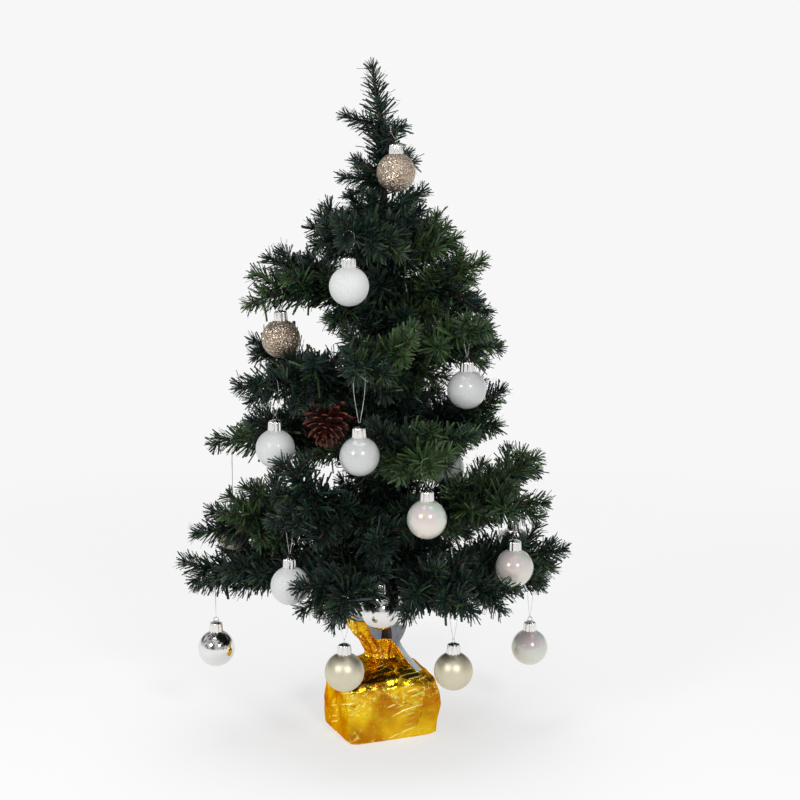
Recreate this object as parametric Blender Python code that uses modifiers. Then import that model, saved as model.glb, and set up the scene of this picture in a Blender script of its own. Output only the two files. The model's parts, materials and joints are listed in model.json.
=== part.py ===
"""Artificial tabletop tree: a foil-wrapped block, a trunk with bendable wire branches, and hung baubles.

Metres, +Z up. The origin is on the surface that the tree stands on, under the trunk's axis.
The front faces -Y. Lengths in the layout tables are millimetres, turned into metres by MM.
"""

import math

import bmesh
import bpy
from mathutils import Matrix, Vector

MM = 0.001

# Base block and trunk
BLOCK_SIZE = Vector((70, 57, 45)) * MM
BLOCK_CENTRE = Vector((-5.5, -2, 0)) * MM
BLOCK_TURN = math.radians(22.5)
BLOCK_LIFT = 1.2 * MM
BLOCK_EDGE = 5 * MM
TRUNK_RADIUS = 4.8 * MM
TRUNK_TOP_RADIUS = 2.6 * MM
TRUNK_FOOT = 9 * MM
TRUNK_TOP = 430 * MM
HOLE_SLACK = 0.4 * MM

# Foil wrap
FOIL_THICKNESS = 0.6 * MM
FOIL_SIDES = 32

# Branches: a bare wire at the trunk, then a core of packed needles
WIRE_RADIUS = 1.5 * MM
CORE_RADIUS = 4.8 * MM
TWIG_RADIUS = 4.2 * MM
TIP_RADIUS = 2.6 * MM
WIRE_LENGTH = 8 * MM
SWELL_LENGTH = 26 * MM
TAPER_LENGTH = 16 * MM
ROOT_GAP = 2.0 * MM
POINT_SPACING = 30 * MM
FINE_STEPS = 12

# Baubles
BALL_RADIUS = 15 * MM
BALL_WALL = 0.8 * MM
NECK_ANGLE = math.radians(18)
CAP_RADIUS = 5.2 * MM
CAP_FOOT = 14.6 * MM
CAP_TOP = 22.4 * MM
EYE_HEIGHT = 25 * MM
THREAD_RADIUS = 0.3 * MM
ARCH_RADIUS = 6.5 * MM
ARCH_STEPS = 6
TURNED_STEPS = 12

# Leader: the trunk's bendable top, as root height, path and twigs
LEADER = (
    "top_leader",
    432,
    [(-1, 0, 452), (-4, 0, 490), (-8, 0, 520), (-11, 0, 538)],
    [
        (0.48, [(-33, -7, 500)]),
        (0.10, [(-34, -9, 452)]),
        (0.30, [(8, -28, 490), (13, -38, 491)]),
        (0.22, [(18, 24, 470)]),
    ],
)

# Branches: name, root height, path of the main wire, and twigs as (start share, path)
BRANCHES = (
    ("branch_a_left", 388, [(-34, -10, 404), (-58, -18, 414)],
     [(0.45, [(-46, 6, 430)]), (0.35, [(-32, 34, 414)])]),
    ("branch_a_right", 384, [(32, -9, 398), (55, -17, 405)],
     [(0.45, [(40, 4, 422)]), (0.35, [(26, 40, 412)])]),
    ("branch_a_front", 394, [(-14, -42, 410), (-27, -80, 412), (-29, -93, 409)],
     [(0.40, [(12, -64, 398)]), (0.40, [(-54, -54, 404)])]),
    ("branch_b_left", 340, [(-44, -22, 364), (-81, -40, 366), (-106, -50, 357)],
     [(0.40, [(-92, -10, 390)]), (0.35, [(-66, 30, 372)])]),
    ("branch_b_right", 334, [(40, -6, 366), (76, -12, 388)],
     [(0.40, [(78, -42, 350)]), (0.35, [(58, 38, 372)])]),
    ("branch_b_back", 322, [(4, 50, 340), (8, 96, 346)],
     [(0.40, [(-50, 80, 330)]), (0.40, [(56, 76, 336)])]),
    ("branch_c_front_left", 292, [(-46, -38, 297), (-84, -72, 300), (-110, -92, 301)],
     [(0.35, [(-78, -12, 312), (-104, -22, 326)]), (0.35, [(-54, -90, 320)])]),
    ("branch_c_front", 286, [(-8, -50, 308), (-19, -110, 318), (-22, -126, 315)],
     [(0.35, [(20, -94, 338)])]),
    ("branch_c_right", 288, [(34, -34, 320), (62, -62, 338), (78, -76, 341)],
     [(0.45, [(88, -34, 322)]), (0.25, [(84, 18, 322)])]),
    ("branch_d_left", 226, [(-50, 0, 240), (-125, 8, 241), (-140, 9, 236)],
     [(0.35, [(-106, -34, 264)]), (0.30, [(-88, 58, 250)])]),
    ("branch_d_right", 222, [(46, 2, 250), (92, -10, 285)],
     [(0.30, [(49, 29, 262), (66, 42, 264)]), (0.45, [(86, -44, 262)])]),
    ("branch_d_front", 230, [(14, -54, 244), (31, -110, 246), (33, -127, 242)],
     [(0.40, [(68, -88, 264)]), (0.35, [(-16, -84, 262)])]),
    ("branch_d_back", 236, [(-10, 60, 250), (-26, 114, 252)],
     [(0.35, [(44, 98, 264)]), (0.35, [(-78, 80, 264)])]),
    ("branch_e_left", 176, [(-70, -12, 178), (-152, -30, 173)],
     [(0.40, [(-126, -58, 196)]), (0.35, [(-112, 46, 192)])]),
    ("branch_e_right", 172, [(50, -26, 190), (100, -60, 204), (122, -72, 207)],
     [(0.35, [(120, -24, 234)]), (0.20, [(105, 24, 210), (124, 26, 212)])]),
    ("branch_e_front_left", 182, [(-34, -44, 192), (-73, -86, 200), (-86, -98, 199)],
     [(0.35, [(-78, -100, 246)]), (0.25, [(-4, -75, 178), (-4, -106, 174)])]),
    ("branch_f_left", 128, [(-60, -8, 136), (-138, -14, 140), (-164, -14, 146)],
     [(0.40, [(-126, -52, 148)]), (0.40, [(-126, 44, 148)])]),
    ("branch_f_right", 124, [(60, -4, 134), (144, -8, 154)],
     [(0.50, [(118, 10, 132), (138, 16, 132)]), (0.35, [(122, -52, 140)]),
      (0.30, [(98, 64, 144)])]),
    ("branch_f_front_left", 134, [(-19, -52, 142), (-31, -112, 141), (-33, -134, 136)],
     [(0.40, [(-66, -114, 152)]), (0.20, [(-104, -52, 144)])]),
    ("branch_f_front_right", 130, [(28, -48, 138), (52, -92, 138), (66, -118, 134)],
     [(0.35, [(100, -88, 142)]), (0.40, [(20, -118, 146)])]),
    ("branch_f_back", 138, [(2, 62, 146), (8, 136, 146)],
     [(0.35, [(-74, 106, 148)]), (0.30, [(84, 98, 150)])]),
)

# Baubles: finish, branch, which of its paths (0 is the main wire), point on that path, drop
BAUBLES = (
    ("champagne_glitter", "top_leader", 3, 0, 33),
    ("snow_white", "branch_a_front", 0, 1, 37),
    ("champagne_glitter", "branch_b_left", 0, 1, 36),
    ("pearl_white", "branch_c_right", 0, 1, 44),
    ("satin_white", "branch_c_front_left", 0, 1, 50),
    ("gloss_white", "branch_c_front", 0, 1, 66),
    ("iridescent", "branch_d_front", 0, 1, 42),
    ("iridescent", "branch_e_right", 0, 1, 51),
    ("snow_white", "branch_e_front_left", 0, 1, 54),
    ("chrome_silver", "branch_e_front_left", 2, 0, 55),
    ("chrome_silver", "branch_f_left", 0, 1, 67),
    ("satin_champagne", "branch_f_front_left", 0, 1, 55),
    ("satin_champagne", "branch_f_front_right", 0, 1, 58),
    ("iridescent", "branch_f_right", 1, 0, 66),
    ("chrome_silver", "branch_e_right", 2, 0, 61),
    ("gloss_white", "branch_d_right", 1, 0, 49),
    ("champagne_glitter", "branch_d_left", 0, 1, 76),
)

# Pine cone, wired under a branch
CONE_CENTRE = Vector((-46, -62, 264)) * MM
CONE_AXIS = Vector((-0.10, -0.80, -0.58))
CONE_LENGTH = 33 * MM
CONE_RADIUS = 19.5 * MM
CONE_BRANCH = "branch_c_front_left"

# Finishes: base colour, roughness, metallic
FINISHES = {
    "plaster": ((0.62, 0.60, 0.56), 0.9, 0.0),
    "gold_foil": ((0.80, 0.50, 0.05), 0.25, 1.0),
    "trunk_tape": ((0.045, 0.035, 0.028), 0.8, 0.0),
    "needles": ((0.020, 0.075, 0.050), 0.6, 0.0),
    "cone_brown": ((0.20, 0.06, 0.025), 0.6, 0.0),
    "silver_cap": ((0.80, 0.80, 0.80), 0.2, 1.0),
    "champagne_glitter": ((0.50, 0.40, 0.26), 0.45, 0.6),
    "snow_white": ((0.85, 0.86, 0.88), 0.85, 0.0),
    "pearl_white": ((0.80, 0.79, 0.78), 0.35, 0.0),
    "satin_white": ((0.82, 0.82, 0.83), 0.5, 0.0),
    "gloss_white": ((0.82, 0.84, 0.85), 0.12, 0.0),
    "iridescent": ((0.80, 0.77, 0.72), 0.15, 0.2),
    "chrome_silver": ((0.82, 0.81, 0.79), 0.04, 1.0),
    "satin_champagne": ((0.62, 0.60, 0.50), 0.35, 0.9),
}


def clear_scene():
    for obj in list(bpy.data.objects):
        bpy.data.objects.remove(obj, do_unlink=True)


def new_collection(name):
    collection = bpy.data.collections.new(name)
    bpy.context.scene.collection.children.link(collection)
    return collection


def make_finish(name):
    colour, roughness, metallic = FINISHES[name]
    material = bpy.data.materials.new(name)
    material.use_nodes = True
    shader = material.node_tree.nodes["Principled BSDF"]
    shader.inputs["Base Color"].default_value = (*colour, 1)
    shader.inputs["Roughness"].default_value = roughness
    shader.inputs["Metallic"].default_value = metallic
    return material


def add_object(name, mesh, place, finish=None):
    """A named object; without a finish it is a helper that another piece is joined or cut with."""
    obj = bpy.data.objects.new(name, mesh)
    obj.location = place
    if finish:
        mesh.materials.append(finishes[finish])
        parts.objects.link(obj)
    else:
        obj.hide_render = True
        obj.display_type = "WIRE"
        cutters.objects.link(obj)
    return obj


def boolean(obj, other, operation):
    modifier = obj.modifiers.new(operation.lower(), "BOOLEAN")
    modifier.operation = operation
    modifier.object = other


class Route:
    """A smooth line through the given points, read by distance from its start."""

    def __init__(self, points):
        self.line = [points[0]]
        self.stations = [0.0]
        self.knots = [0.0]
        before = [2 * points[0] - points[1]] + points + [2 * points[-1] - points[-2]]
        for a, b, c, d in zip(before, before[1:], before[2:], before[3:]):
            for step in range(1, FINE_STEPS + 1):
                self.extend(catmull_rom(a, b, c, d, step / FINE_STEPS))
            self.knots.append(self.stations[-1])
        self.length = self.stations[-1]

    def extend(self, point):
        self.stations.append(self.stations[-1] + (point - self.line[-1]).length)
        self.line.append(point)

    def at(self, distance):
        for i in range(1, len(self.line)):
            if distance <= self.stations[i] or i == len(self.line) - 1:
                span = self.stations[i] - self.stations[i - 1]
                share = min((distance - self.stations[i - 1]) / span, 1)
                return self.line[i - 1].lerp(self.line[i], share)

    def heading(self, distance):
        step = 2 * MM
        return (self.at(distance + step) - self.at(max(distance - step, 0))).normalized()


def catmull_rom(a, b, c, d, t):
    return 0.5 * (2 * b + (c - a) * t + (2 * a - 5 * b + 4 * c - d) * t**2
                  + (3 * b - a - 3 * c + d) * t**3)


def points_of(path):
    return [Vector(point) * MM for point in path]


def trunk_radius_at(height):
    share = (height - TRUNK_FOOT) / (TRUNK_TOP - TRUNK_FOOT)
    return TRUNK_RADIUS + (TRUNK_TOP_RADIUS - TRUNK_RADIUS) * min(share, 1)


def routes_of(branch):
    """The main wire's route and its twigs' routes, in that order."""
    name, root_height, path, twigs = branch
    points = points_of(path)
    height = root_height * MM
    if name == LEADER[0]:
        root = Vector((0, 0, height))
    else:
        out = Vector((points[0].x, points[0].y, 0)).normalized()
        root = out * (trunk_radius_at(height) + ROOT_GAP) + Vector((0, 0, height))
    main = Route([root] + points)
    routes = [main]
    for share, twig_path in twigs:
        start = main.at(share * main.length)
        ends = points_of(twig_path)
        reach = ends[0] - start
        ahead = main.heading(share * main.length) + 2 * reach.normalized()
        bend = start + ahead.normalized() * reach.length * 0.35
        routes.append(Route([start, bend] + ends))
    return routes


def tube(name, points, radii, place, finish=None):
    """A round tube along the points, as a welded mesh whose origin is at place."""
    curve = bpy.data.curves.new(name, "CURVE")
    curve.dimensions = "3D"
    curve.bevel_depth = MM
    curve.bevel_resolution = 2
    curve.use_fill_caps = True
    spline = curve.splines.new("POLY")
    spline.points.add(len(points) - 1)
    for target, point, radius in zip(spline.points, points, radii):
        target.co = (*(point - place), 1)
        target.radius = radius / MM
    wire = bpy.data.objects.new(name + "_curve", curve)
    cutters.objects.link(wire)
    graph = bpy.context.evaluated_depsgraph_get()
    mesh = bpy.data.meshes.new_from_object(wire.evaluated_get(graph))
    bpy.data.objects.remove(wire)
    weld(mesh)
    mesh.shade_smooth()
    return add_object(name, mesh, place, finish)


def weld(mesh):
    bm = bmesh.new()
    bm.from_mesh(mesh)
    bmesh.ops.remove_doubles(bm, verts=bm.verts, dist=MM / 100)
    bm.to_mesh(mesh)
    bm.free()


def core_radius(distance, length):
    """Half the thickness of a main wire with its packed needles."""
    swell = min(max((distance - WIRE_LENGTH) / (SWELL_LENGTH - WIRE_LENGTH), 0), 1)
    taper = min((length - distance) / TAPER_LENGTH, 1)
    thick = TIP_RADIUS + (CORE_RADIUS - TIP_RADIUS) * taper
    return WIRE_RADIUS + (thick - WIRE_RADIUS) * swell


def twig_radius(distance, length):
    taper = min((length - distance) / TAPER_LENGTH, 1)
    return TIP_RADIUS + (TWIG_RADIUS - TIP_RADIUS) * taper


def stations_on(route, start):
    """Distances along a route from start to its end, that take in each knot and the taper."""
    marks = [start] + [k for k in route.knots if start < k < route.length - TAPER_LENGTH]
    marks += [route.length - TAPER_LENGTH, route.length]
    stations = marks[:1]
    for low, high in zip(marks, marks[1:]):
        count = max(round((high - low) / POINT_SPACING), 1)
        stations += [low + (high - low) * i / count for i in range(1, count + 1)]
    return stations


def make_branch(branch):
    """The main wire with its twigs joined on. The object's origin is its root, where it bends."""
    name = branch[0]
    routes = routes_of(branch)
    main = routes[0]
    root = main.at(0)
    stations = [0, WIRE_LENGTH] + stations_on(main, SWELL_LENGTH)
    obj = tube(
        name,
        [main.at(s) for s in stations],
        [core_radius(s, main.length) for s in stations],
        root,
        "needles",
    )
    for number, route in enumerate(routes[1:], 1):
        stations = stations_on(route, 0)
        twig = tube(
            f"{name}_twig_{number}",
            [route.at(s) for s in stations],
            [twig_radius(s, route.length) for s in stations],
            root,
        )
        boolean(obj, twig, "UNION")
    return obj, routes


def turned(name, profile, place, finish):
    """A turned shape. The profile's outer side runs from top to bottom at +X."""
    mesh = bpy.data.meshes.new(name)
    edges = [(i, i + 1) for i in range(len(profile) - 1)]
    mesh.from_pydata([(x, 0, z) for x, z in profile], edges, [])
    obj = add_object(name, mesh, place, finish)
    screw = obj.modifiers.new("turn", "SCREW")
    screw.steps = screw.render_steps = TURNED_STEPS
    screw.use_merge_vertices = True
    screw.merge_threshold = MM / 100
    screw.use_smooth_shade = True
    return obj


def arc(radius, start, end, steps):
    """Points on an arc about the origin, by the angle from straight up."""
    angles = [start + (end - start) * i / steps for i in range(steps + 1)]
    return [(radius * math.sin(a), radius * math.cos(a)) for a in angles]


def ball_profile():
    inner = arc(BALL_RADIUS - BALL_WALL, math.pi, NECK_ANGLE, 6)
    outer = arc(BALL_RADIUS, NECK_ANGLE, math.pi, 8)
    inner[0] = (0, inner[0][1])
    outer[-1] = (0, outer[-1][1])
    return inner + outer


def cap_profile():
    edge = 0.6 * MM
    return [
        (0, CAP_TOP),
        (CAP_RADIUS - edge, CAP_TOP),
        (CAP_RADIUS, CAP_TOP - edge),
        (CAP_RADIUS, CAP_FOOT),
        (0, CAP_FOOT),
    ]


def thread_points(drop):
    """The loop: up from the cap, over the branch in an arch, and down again."""
    inside, spread = CAP_TOP - MM, 0.7 * MM
    left = [Vector((0, -spread, inside)), Vector((0, -spread, EYE_HEIGHT))]
    arch = []
    for i in range(ARCH_STEPS + 1):
        angle = math.pi * (1 - i / ARCH_STEPS)
        arch.append(Vector((0, math.cos(angle), math.sin(angle))) * ARCH_RADIUS)
        arch[-1].z += drop
    right = [Vector((0, spread, EYE_HEIGHT)), Vector((0, spread, inside))]
    return left + arch + right


def make_bauble(number, bauble, objects, routes):
    """A hollow ball and its hanger, under an empty on the line that they swing about."""
    finish, branch, path, point, drop_mm = bauble
    drop = drop_mm * MM
    route = routes[branch][path]
    # A twig's route has its start and its bend before the listed points, a main wire's its root.
    knot = route.knots[point + (2 if path else 1)]
    hang = route.at(knot)
    heading = route.heading(knot)
    name = f"bauble_{number:02d}"
    pivot = bpy.data.objects.new(name + "_swing", None)
    pivot.empty_display_size = BALL_RADIUS
    parts.objects.link(pivot)
    pivot.parent = objects[branch]
    pivot.location = hang - objects[branch].location
    pivot.rotation_euler.z = math.atan2(heading.y, heading.x)
    shell = turned(name + "_shell", ball_profile(), (0, 0, -drop), finish)
    hanger = turned(name + "_hanger", cap_profile(), (0, 0, -drop), "silver_cap")
    points = thread_points(drop)
    thread = tube(name + "_thread", points, [THREAD_RADIUS] * len(points), Vector())
    boolean(hanger, thread, "UNION")
    shell.parent = pivot
    hanger.parent = pivot
    thread.parent = hanger


def make_block():
    bpy.ops.mesh.primitive_cube_add(size=1)
    block = bpy.context.object
    block.name = "base_block"
    block.data.transform(Matrix.Diagonal((*BLOCK_SIZE, 1)))
    block.location = BLOCK_CENTRE + Vector((0, 0, BLOCK_LIFT + BLOCK_SIZE.z / 2))
    block.rotation_euler.z = BLOCK_TURN
    bevel = block.modifiers.new("edges", "BEVEL")
    bevel.width = BLOCK_EDGE
    bevel.segments = 2
    depth = BLOCK_LIFT + BLOCK_SIZE.z - TRUNK_FOOT + HOLE_SLACK
    bpy.ops.mesh.primitive_cylinder_add(
        vertices=20, radius=TRUNK_RADIUS + HOLE_SLACK, depth=2 * depth
    )
    drill = bpy.context.object
    drill.name = "trunk_hole"
    drill.location = (0, 0, BLOCK_LIFT + BLOCK_SIZE.z)
    move_to(drill, cutters)
    drill.hide_render = True
    drill.display_type = "WIRE"
    boolean(block, drill, "DIFFERENCE")
    move_to(block, parts)
    block.data.materials.append(finishes["plaster"])


def move_to(obj, collection):
    for holder in list(obj.users_collection):
        holder.objects.unlink(obj)
    collection.objects.link(obj)


def make_trunk():
    bpy.ops.mesh.primitive_cone_add(
        vertices=14,
        radius1=TRUNK_RADIUS,
        radius2=TRUNK_TOP_RADIUS,
        depth=TRUNK_TOP - TRUNK_FOOT,
        location=(0, 0, (TRUNK_TOP + TRUNK_FOOT) / 2),
    )
    trunk = bpy.context.object
    trunk.name = "trunk"
    trunk.data.materials.append(finishes["trunk_tape"])
    trunk.data.shade_smooth()
    trunk.data.set_sharp_from_angle(angle=math.radians(40))
    move_to(trunk, parts)


def foil_ring(height, half_width, half_depth, squareness, centre, waves=0.0, rise=0.0):
    """One section of the wrap: a rounded square that a higher squareness makes sharper."""
    ring = []
    for i in range(FOIL_SIDES):
        angle = 2 * math.pi * i / FOIL_SIDES
        cos, sin = math.cos(angle), math.sin(angle)
        grow = (abs(cos) ** squareness + abs(sin) ** squareness) ** (-1 / squareness)
        grow *= 1 + waves * math.cos(5 * angle + 1.0)
        spot = Vector((half_width * cos * grow, half_depth * sin * grow, 0))
        spot.rotate(Matrix.Rotation(BLOCK_TURN, 3, "Z"))
        spot += Vector((centre[0], centre[1], height))
        spot.z += rise * math.cos(angle + BLOCK_TURN - math.radians(170))
        ring.append(spot * MM)
    return ring


def foil_sections():
    body, neck, collar = (-5.5, -2), (-5, 1), (-9, 0)
    return [
        foil_ring(0, 36.6, 30.1, 10, body),
        foil_ring(2, 38.2, 31.7, 10, body),
        foil_ring(24, 38.2, 31.7, 10, body),
        foil_ring(49, 37.4, 30.9, 8, body),
        foil_ring(54.5, 28, 24, 3.5, body, 0.04),
        foil_ring(61, 15.5, 14.5, 2.2, neck, 0.06),
        foil_ring(66, 12.8, 12.2, 2, neck, 0.06),
        foil_ring(74, 16, 15, 2, neck, 0.08, 1),
        foil_ring(84, 23, 20, 2, collar, 0.10, 6),
        foil_ring(90, 27, 22, 2, collar, 0.12, 10),
    ]


def make_foil():
    """The foil as one open cup that wraps under the block, narrows to a neck and flares again."""
    bm = bmesh.new()
    rings = [[bm.verts.new(spot) for spot in ring] for ring in foil_sections()]
    bm.faces.new(list(reversed(rings[0])))
    for low, high in zip(rings, rings[1:]):
        for i in range(FOIL_SIDES):
            j = (i + 1) % FOIL_SIDES
            bm.faces.new((low[i], low[j], high[j], high[i]))
    mesh = bpy.data.meshes.new("foil_wrap")
    bm.to_mesh(mesh)
    bm.free()
    foil = add_object("foil_wrap", mesh, (0, 0, 0), "gold_foil")
    wall = foil.modifiers.new("film", "SOLIDIFY")
    wall.thickness = FOIL_THICKNESS
    wall.offset = -1


def make_cone(branch, routes):
    """The pine cone, its tip away from the branch that its wire stem reaches up to."""
    axis = CONE_AXIS.normalized()
    half = CONE_LENGTH / 2
    shape = [(0, 1), (0.34, 0.93), (0.72, 0.62), (1, 0.10), (0.92, -0.45), (0.55, -0.92), (0, -1)]
    profile = [(x * CONE_RADIUS, z * half) for x, z in shape]
    cone = turned("pine_cone", profile, CONE_CENTRE, "cone_brown")
    turn = axis.to_track_quat("Z", "Y").to_matrix().to_4x4()
    cone.rotation_euler = turn.to_euler()
    main = routes[0]
    wire = main.at(main.knots[1])
    wire.z -= CORE_RADIUS + 0.8 * MM
    base = CONE_CENTRE - axis * (half - 2 * MM)
    middle = base.lerp(wire, 0.5) + Vector((0, 3 * MM, 0))
    stem = tube("cone_stem", [base, middle, wire], [MM] * 3, Vector())
    boolean(cone, stem, "UNION")
    # The branch carries the cone, so the cone is placed from the branch's root.
    cone.parent = branch
    cone.location = CONE_CENTRE - branch.location


def main():
    make_block()
    make_foil()
    make_trunk()
    objects, routes = {}, {}
    for branch in (LEADER, *BRANCHES):
        objects[branch[0]], routes[branch[0]] = make_branch(branch)
    make_cone(objects[CONE_BRANCH], routes[CONE_BRANCH])
    for number, bauble in enumerate(BAUBLES, 1):
        make_bauble(number, bauble, objects, routes)


clear_scene()
parts = new_collection("tabletop_tree")
cutters = new_collection("cutters")
finishes = {name: make_finish(name) for name in FINISHES}
main()
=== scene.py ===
"""Visual model of an artificial tabletop tree with hung ball ornaments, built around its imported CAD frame.

Metres, +Z up, and the front faces -Y. The layout tables are in millimetres, as in the CAD source, and MM
turns them into metres.
"""

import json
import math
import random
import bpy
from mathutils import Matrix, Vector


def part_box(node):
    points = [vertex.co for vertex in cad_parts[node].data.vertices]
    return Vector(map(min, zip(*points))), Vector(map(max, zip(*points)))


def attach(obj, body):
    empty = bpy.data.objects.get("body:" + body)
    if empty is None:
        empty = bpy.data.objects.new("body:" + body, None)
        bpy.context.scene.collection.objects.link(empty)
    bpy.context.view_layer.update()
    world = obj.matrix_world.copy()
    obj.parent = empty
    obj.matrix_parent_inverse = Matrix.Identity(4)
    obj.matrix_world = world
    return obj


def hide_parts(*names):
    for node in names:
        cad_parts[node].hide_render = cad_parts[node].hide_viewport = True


bl_info = {
    "name": "Tabletop Tree",
    "version": (1, 0, 0),
    "blender": (4, 5, 0),
    "location": "3D View > Sidebar > Tree",
    "description": "Builds an artificial tabletop tree with ball ornaments around its CAD frame",
    "category": "Object",
}

import bmesh
import bpy
from mathutils import Matrix, Vector, noise

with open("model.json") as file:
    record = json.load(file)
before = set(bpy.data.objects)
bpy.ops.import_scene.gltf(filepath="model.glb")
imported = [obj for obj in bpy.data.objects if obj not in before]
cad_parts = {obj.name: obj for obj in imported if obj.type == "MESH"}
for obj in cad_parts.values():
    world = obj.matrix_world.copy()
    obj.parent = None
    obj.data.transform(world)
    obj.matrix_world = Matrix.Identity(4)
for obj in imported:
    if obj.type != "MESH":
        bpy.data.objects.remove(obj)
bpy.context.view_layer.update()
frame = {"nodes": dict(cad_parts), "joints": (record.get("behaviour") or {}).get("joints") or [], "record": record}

MM = 0.001
SEED = "tabletop tree"
GOLDEN_ANGLE = math.radians(137.5)
UP = Vector((0, 0, 1))

# Leader and branches: name, root height, path of the main wire, and twigs as (start share, path)
LEADER = (
    "top_leader",
    432,
    [(-1, 0, 452), (-4, 0, 490), (-8, 0, 520), (-11, 0, 538)],
    [
        (0.48, [(-33, -7, 500)]),
        (0.10, [(-34, -9, 452)]),
        (0.30, [(8, -28, 490), (13, -38, 491)]),
        (0.22, [(18, 24, 470)]),
    ],
)
BRANCHES = (
    ("branch_a_left", 388, [(-34, -10, 404), (-58, -18, 414)],
     [(0.45, [(-46, 6, 430)]), (0.35, [(-32, 34, 414)])]),
    ("branch_a_right", 384, [(32, -9, 398), (55, -17, 405)],
     [(0.45, [(40, 4, 422)]), (0.35, [(26, 40, 412)])]),
    ("branch_a_front", 394, [(-14, -42, 410), (-27, -80, 412), (-29, -93, 409)],
     [(0.40, [(12, -64, 398)]), (0.40, [(-54, -54, 404)])]),
    ("branch_b_left", 340, [(-44, -22, 364), (-81, -40, 366), (-106, -50, 357)],
     [(0.40, [(-92, -10, 390)]), (0.35, [(-66, 30, 372)])]),
    ("branch_b_right", 334, [(40, -6, 366), (76, -12, 388)],
     [(0.40, [(78, -42, 350)]), (0.35, [(58, 38, 372)])]),
    ("branch_b_back", 322, [(4, 50, 340), (8, 96, 346)],
     [(0.40, [(-50, 80, 330)]), (0.40, [(56, 76, 336)])]),
    ("branch_c_front_left", 292, [(-46, -38, 297), (-84, -72, 300), (-110, -92, 301)],
     [(0.35, [(-78, -12, 312), (-104, -22, 326)]), (0.35, [(-54, -90, 320)])]),
    ("branch_c_front", 286, [(-8, -50, 308), (-19, -110, 318), (-22, -126, 315)],
     [(0.35, [(20, -94, 338)])]),
    ("branch_c_right", 288, [(34, -34, 320), (62, -62, 338), (78, -76, 341)],
     [(0.45, [(88, -34, 322)]), (0.25, [(84, 18, 322)])]),
    ("branch_d_left", 226, [(-50, 0, 240), (-125, 8, 241), (-140, 9, 236)],
     [(0.35, [(-106, -34, 264)]), (0.30, [(-88, 58, 250)])]),
    ("branch_d_right", 222, [(46, 2, 250), (92, -10, 285)],
     [(0.30, [(49, 29, 262), (66, 42, 264)]), (0.45, [(86, -44, 262)])]),
    ("branch_d_front", 230, [(14, -54, 244), (31, -110, 246), (33, -127, 242)],
     [(0.40, [(68, -88, 264)]), (0.35, [(-16, -84, 262)])]),
    ("branch_d_back", 236, [(-10, 60, 250), (-26, 114, 252)],
     [(0.35, [(44, 98, 264)]), (0.35, [(-78, 80, 264)])]),
    ("branch_e_left", 176, [(-70, -12, 178), (-152, -30, 173)],
     [(0.40, [(-126, -58, 196)]), (0.35, [(-112, 46, 192)])]),
    ("branch_e_right", 172, [(50, -26, 190), (100, -60, 204), (122, -72, 207)],
     [(0.35, [(120, -24, 234)]), (0.20, [(105, 24, 210), (124, 26, 212)])]),
    ("branch_e_front_left", 182, [(-34, -44, 192), (-73, -86, 200), (-86, -98, 199)],
     [(0.35, [(-78, -100, 246)]), (0.25, [(-4, -75, 178), (-4, -106, 174)])]),
    ("branch_f_left", 128, [(-60, -8, 136), (-138, -14, 140), (-164, -14, 146)],
     [(0.40, [(-126, -52, 148)]), (0.40, [(-126, 44, 148)])]),
    ("branch_f_right", 124, [(60, -4, 134), (144, -8, 154)],
     [(0.50, [(118, 10, 132), (138, 16, 132)]), (0.35, [(122, -52, 140)]),
      (0.30, [(98, 64, 144)])]),
    ("branch_f_front_left", 134, [(-19, -52, 142), (-31, -112, 141), (-33, -134, 136)],
     [(0.40, [(-66, -114, 152)]), (0.20, [(-104, -52, 144)])]),
    ("branch_f_front_right", 130, [(28, -48, 138), (52, -92, 138), (66, -118, 134)],
     [(0.35, [(100, -88, 142)]), (0.40, [(20, -118, 146)])]),
    ("branch_f_back", 138, [(2, 62, 146), (8, 136, 146)],
     [(0.35, [(-74, 106, 148)]), (0.30, [(84, 98, 150)])]),
)

# Share of leaf-green needles on the main wire and on each twig; the rest are blue-green
LEAF_SHARES = {
    "branch_a_right": (0.75, 0.75, 0.6),
    "branch_a_front": (0.1, 0.45, 0.1),
    "branch_b_left": (0.55, 0.1, 0.2),
    "branch_b_right": (0.85, 0.08, 0.7),
    "branch_c_front": (0.2, 0.95),
    "branch_c_right": (0.7, 0.5, 0.5),
    "branch_d_left": (0.7, 0.1, 0.2),
    "branch_d_right": (0.1, 0.2, 0.3),
    "branch_d_front": (0.85, 0.5, 0.1),
    "branch_e_left": (0.15, 0.7, 0.6),
    "branch_e_right": (0.6, 0.75, 0.4),
    "branch_f_right": (0.2, 0.6, 0.2, 0.2),
}
PLAIN_LEAF_SHARE = 0.1

# Twigs and wires
TRUNK_TOP_RADIUS = 2.6 * MM
TRUNK_RADIUS = 4.8 * MM
ROOT_GAP = 2.0 * MM
WIRE_RADIUS = 1.1 * MM
BARE_WIRE = 5 * MM

# Baubles, as heights above a ball's centre
BALL_RADIUS = 15 * MM
CAP_FOOT = 13.9 * MM
CAP_TOP = 21.6 * MM
EYE_HEIGHT = 24.0 * MM
EYE_RADIUS = 1.9 * MM
EYE_WIRE_RADIUS = 0.42 * MM
THREAD_DIAMETER = 0.36 * MM
ARCH_RADIUS = 4.3 * MM
HALF_EYE_GAP = 0.5 * MM
FINISH_OF = {
    row["node"]: row["material_slot"] for row in frame["record"]["subparts"]
}

# Pine cone, tip towards its axis
CONE_CENTRE = Vector((-46, -62, 264)) * MM
CONE_AXIS = Vector((-0.10, -0.80, -0.58)).normalized()
CONE_LENGTH = 33 * MM
CONE_RADIUS = 19.5 * MM
# The cone's base lies this share of its length behind its centre
CONE_BASE = 0.42
CONE_SCALES = 58
LONGEST_SCALE = 17.5 * MM
STEM_RADIUS = 0.8 * MM
CONE_BRANCH = "branch_c_front_left"


# ---------------------------------------------------------------- settings


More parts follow.
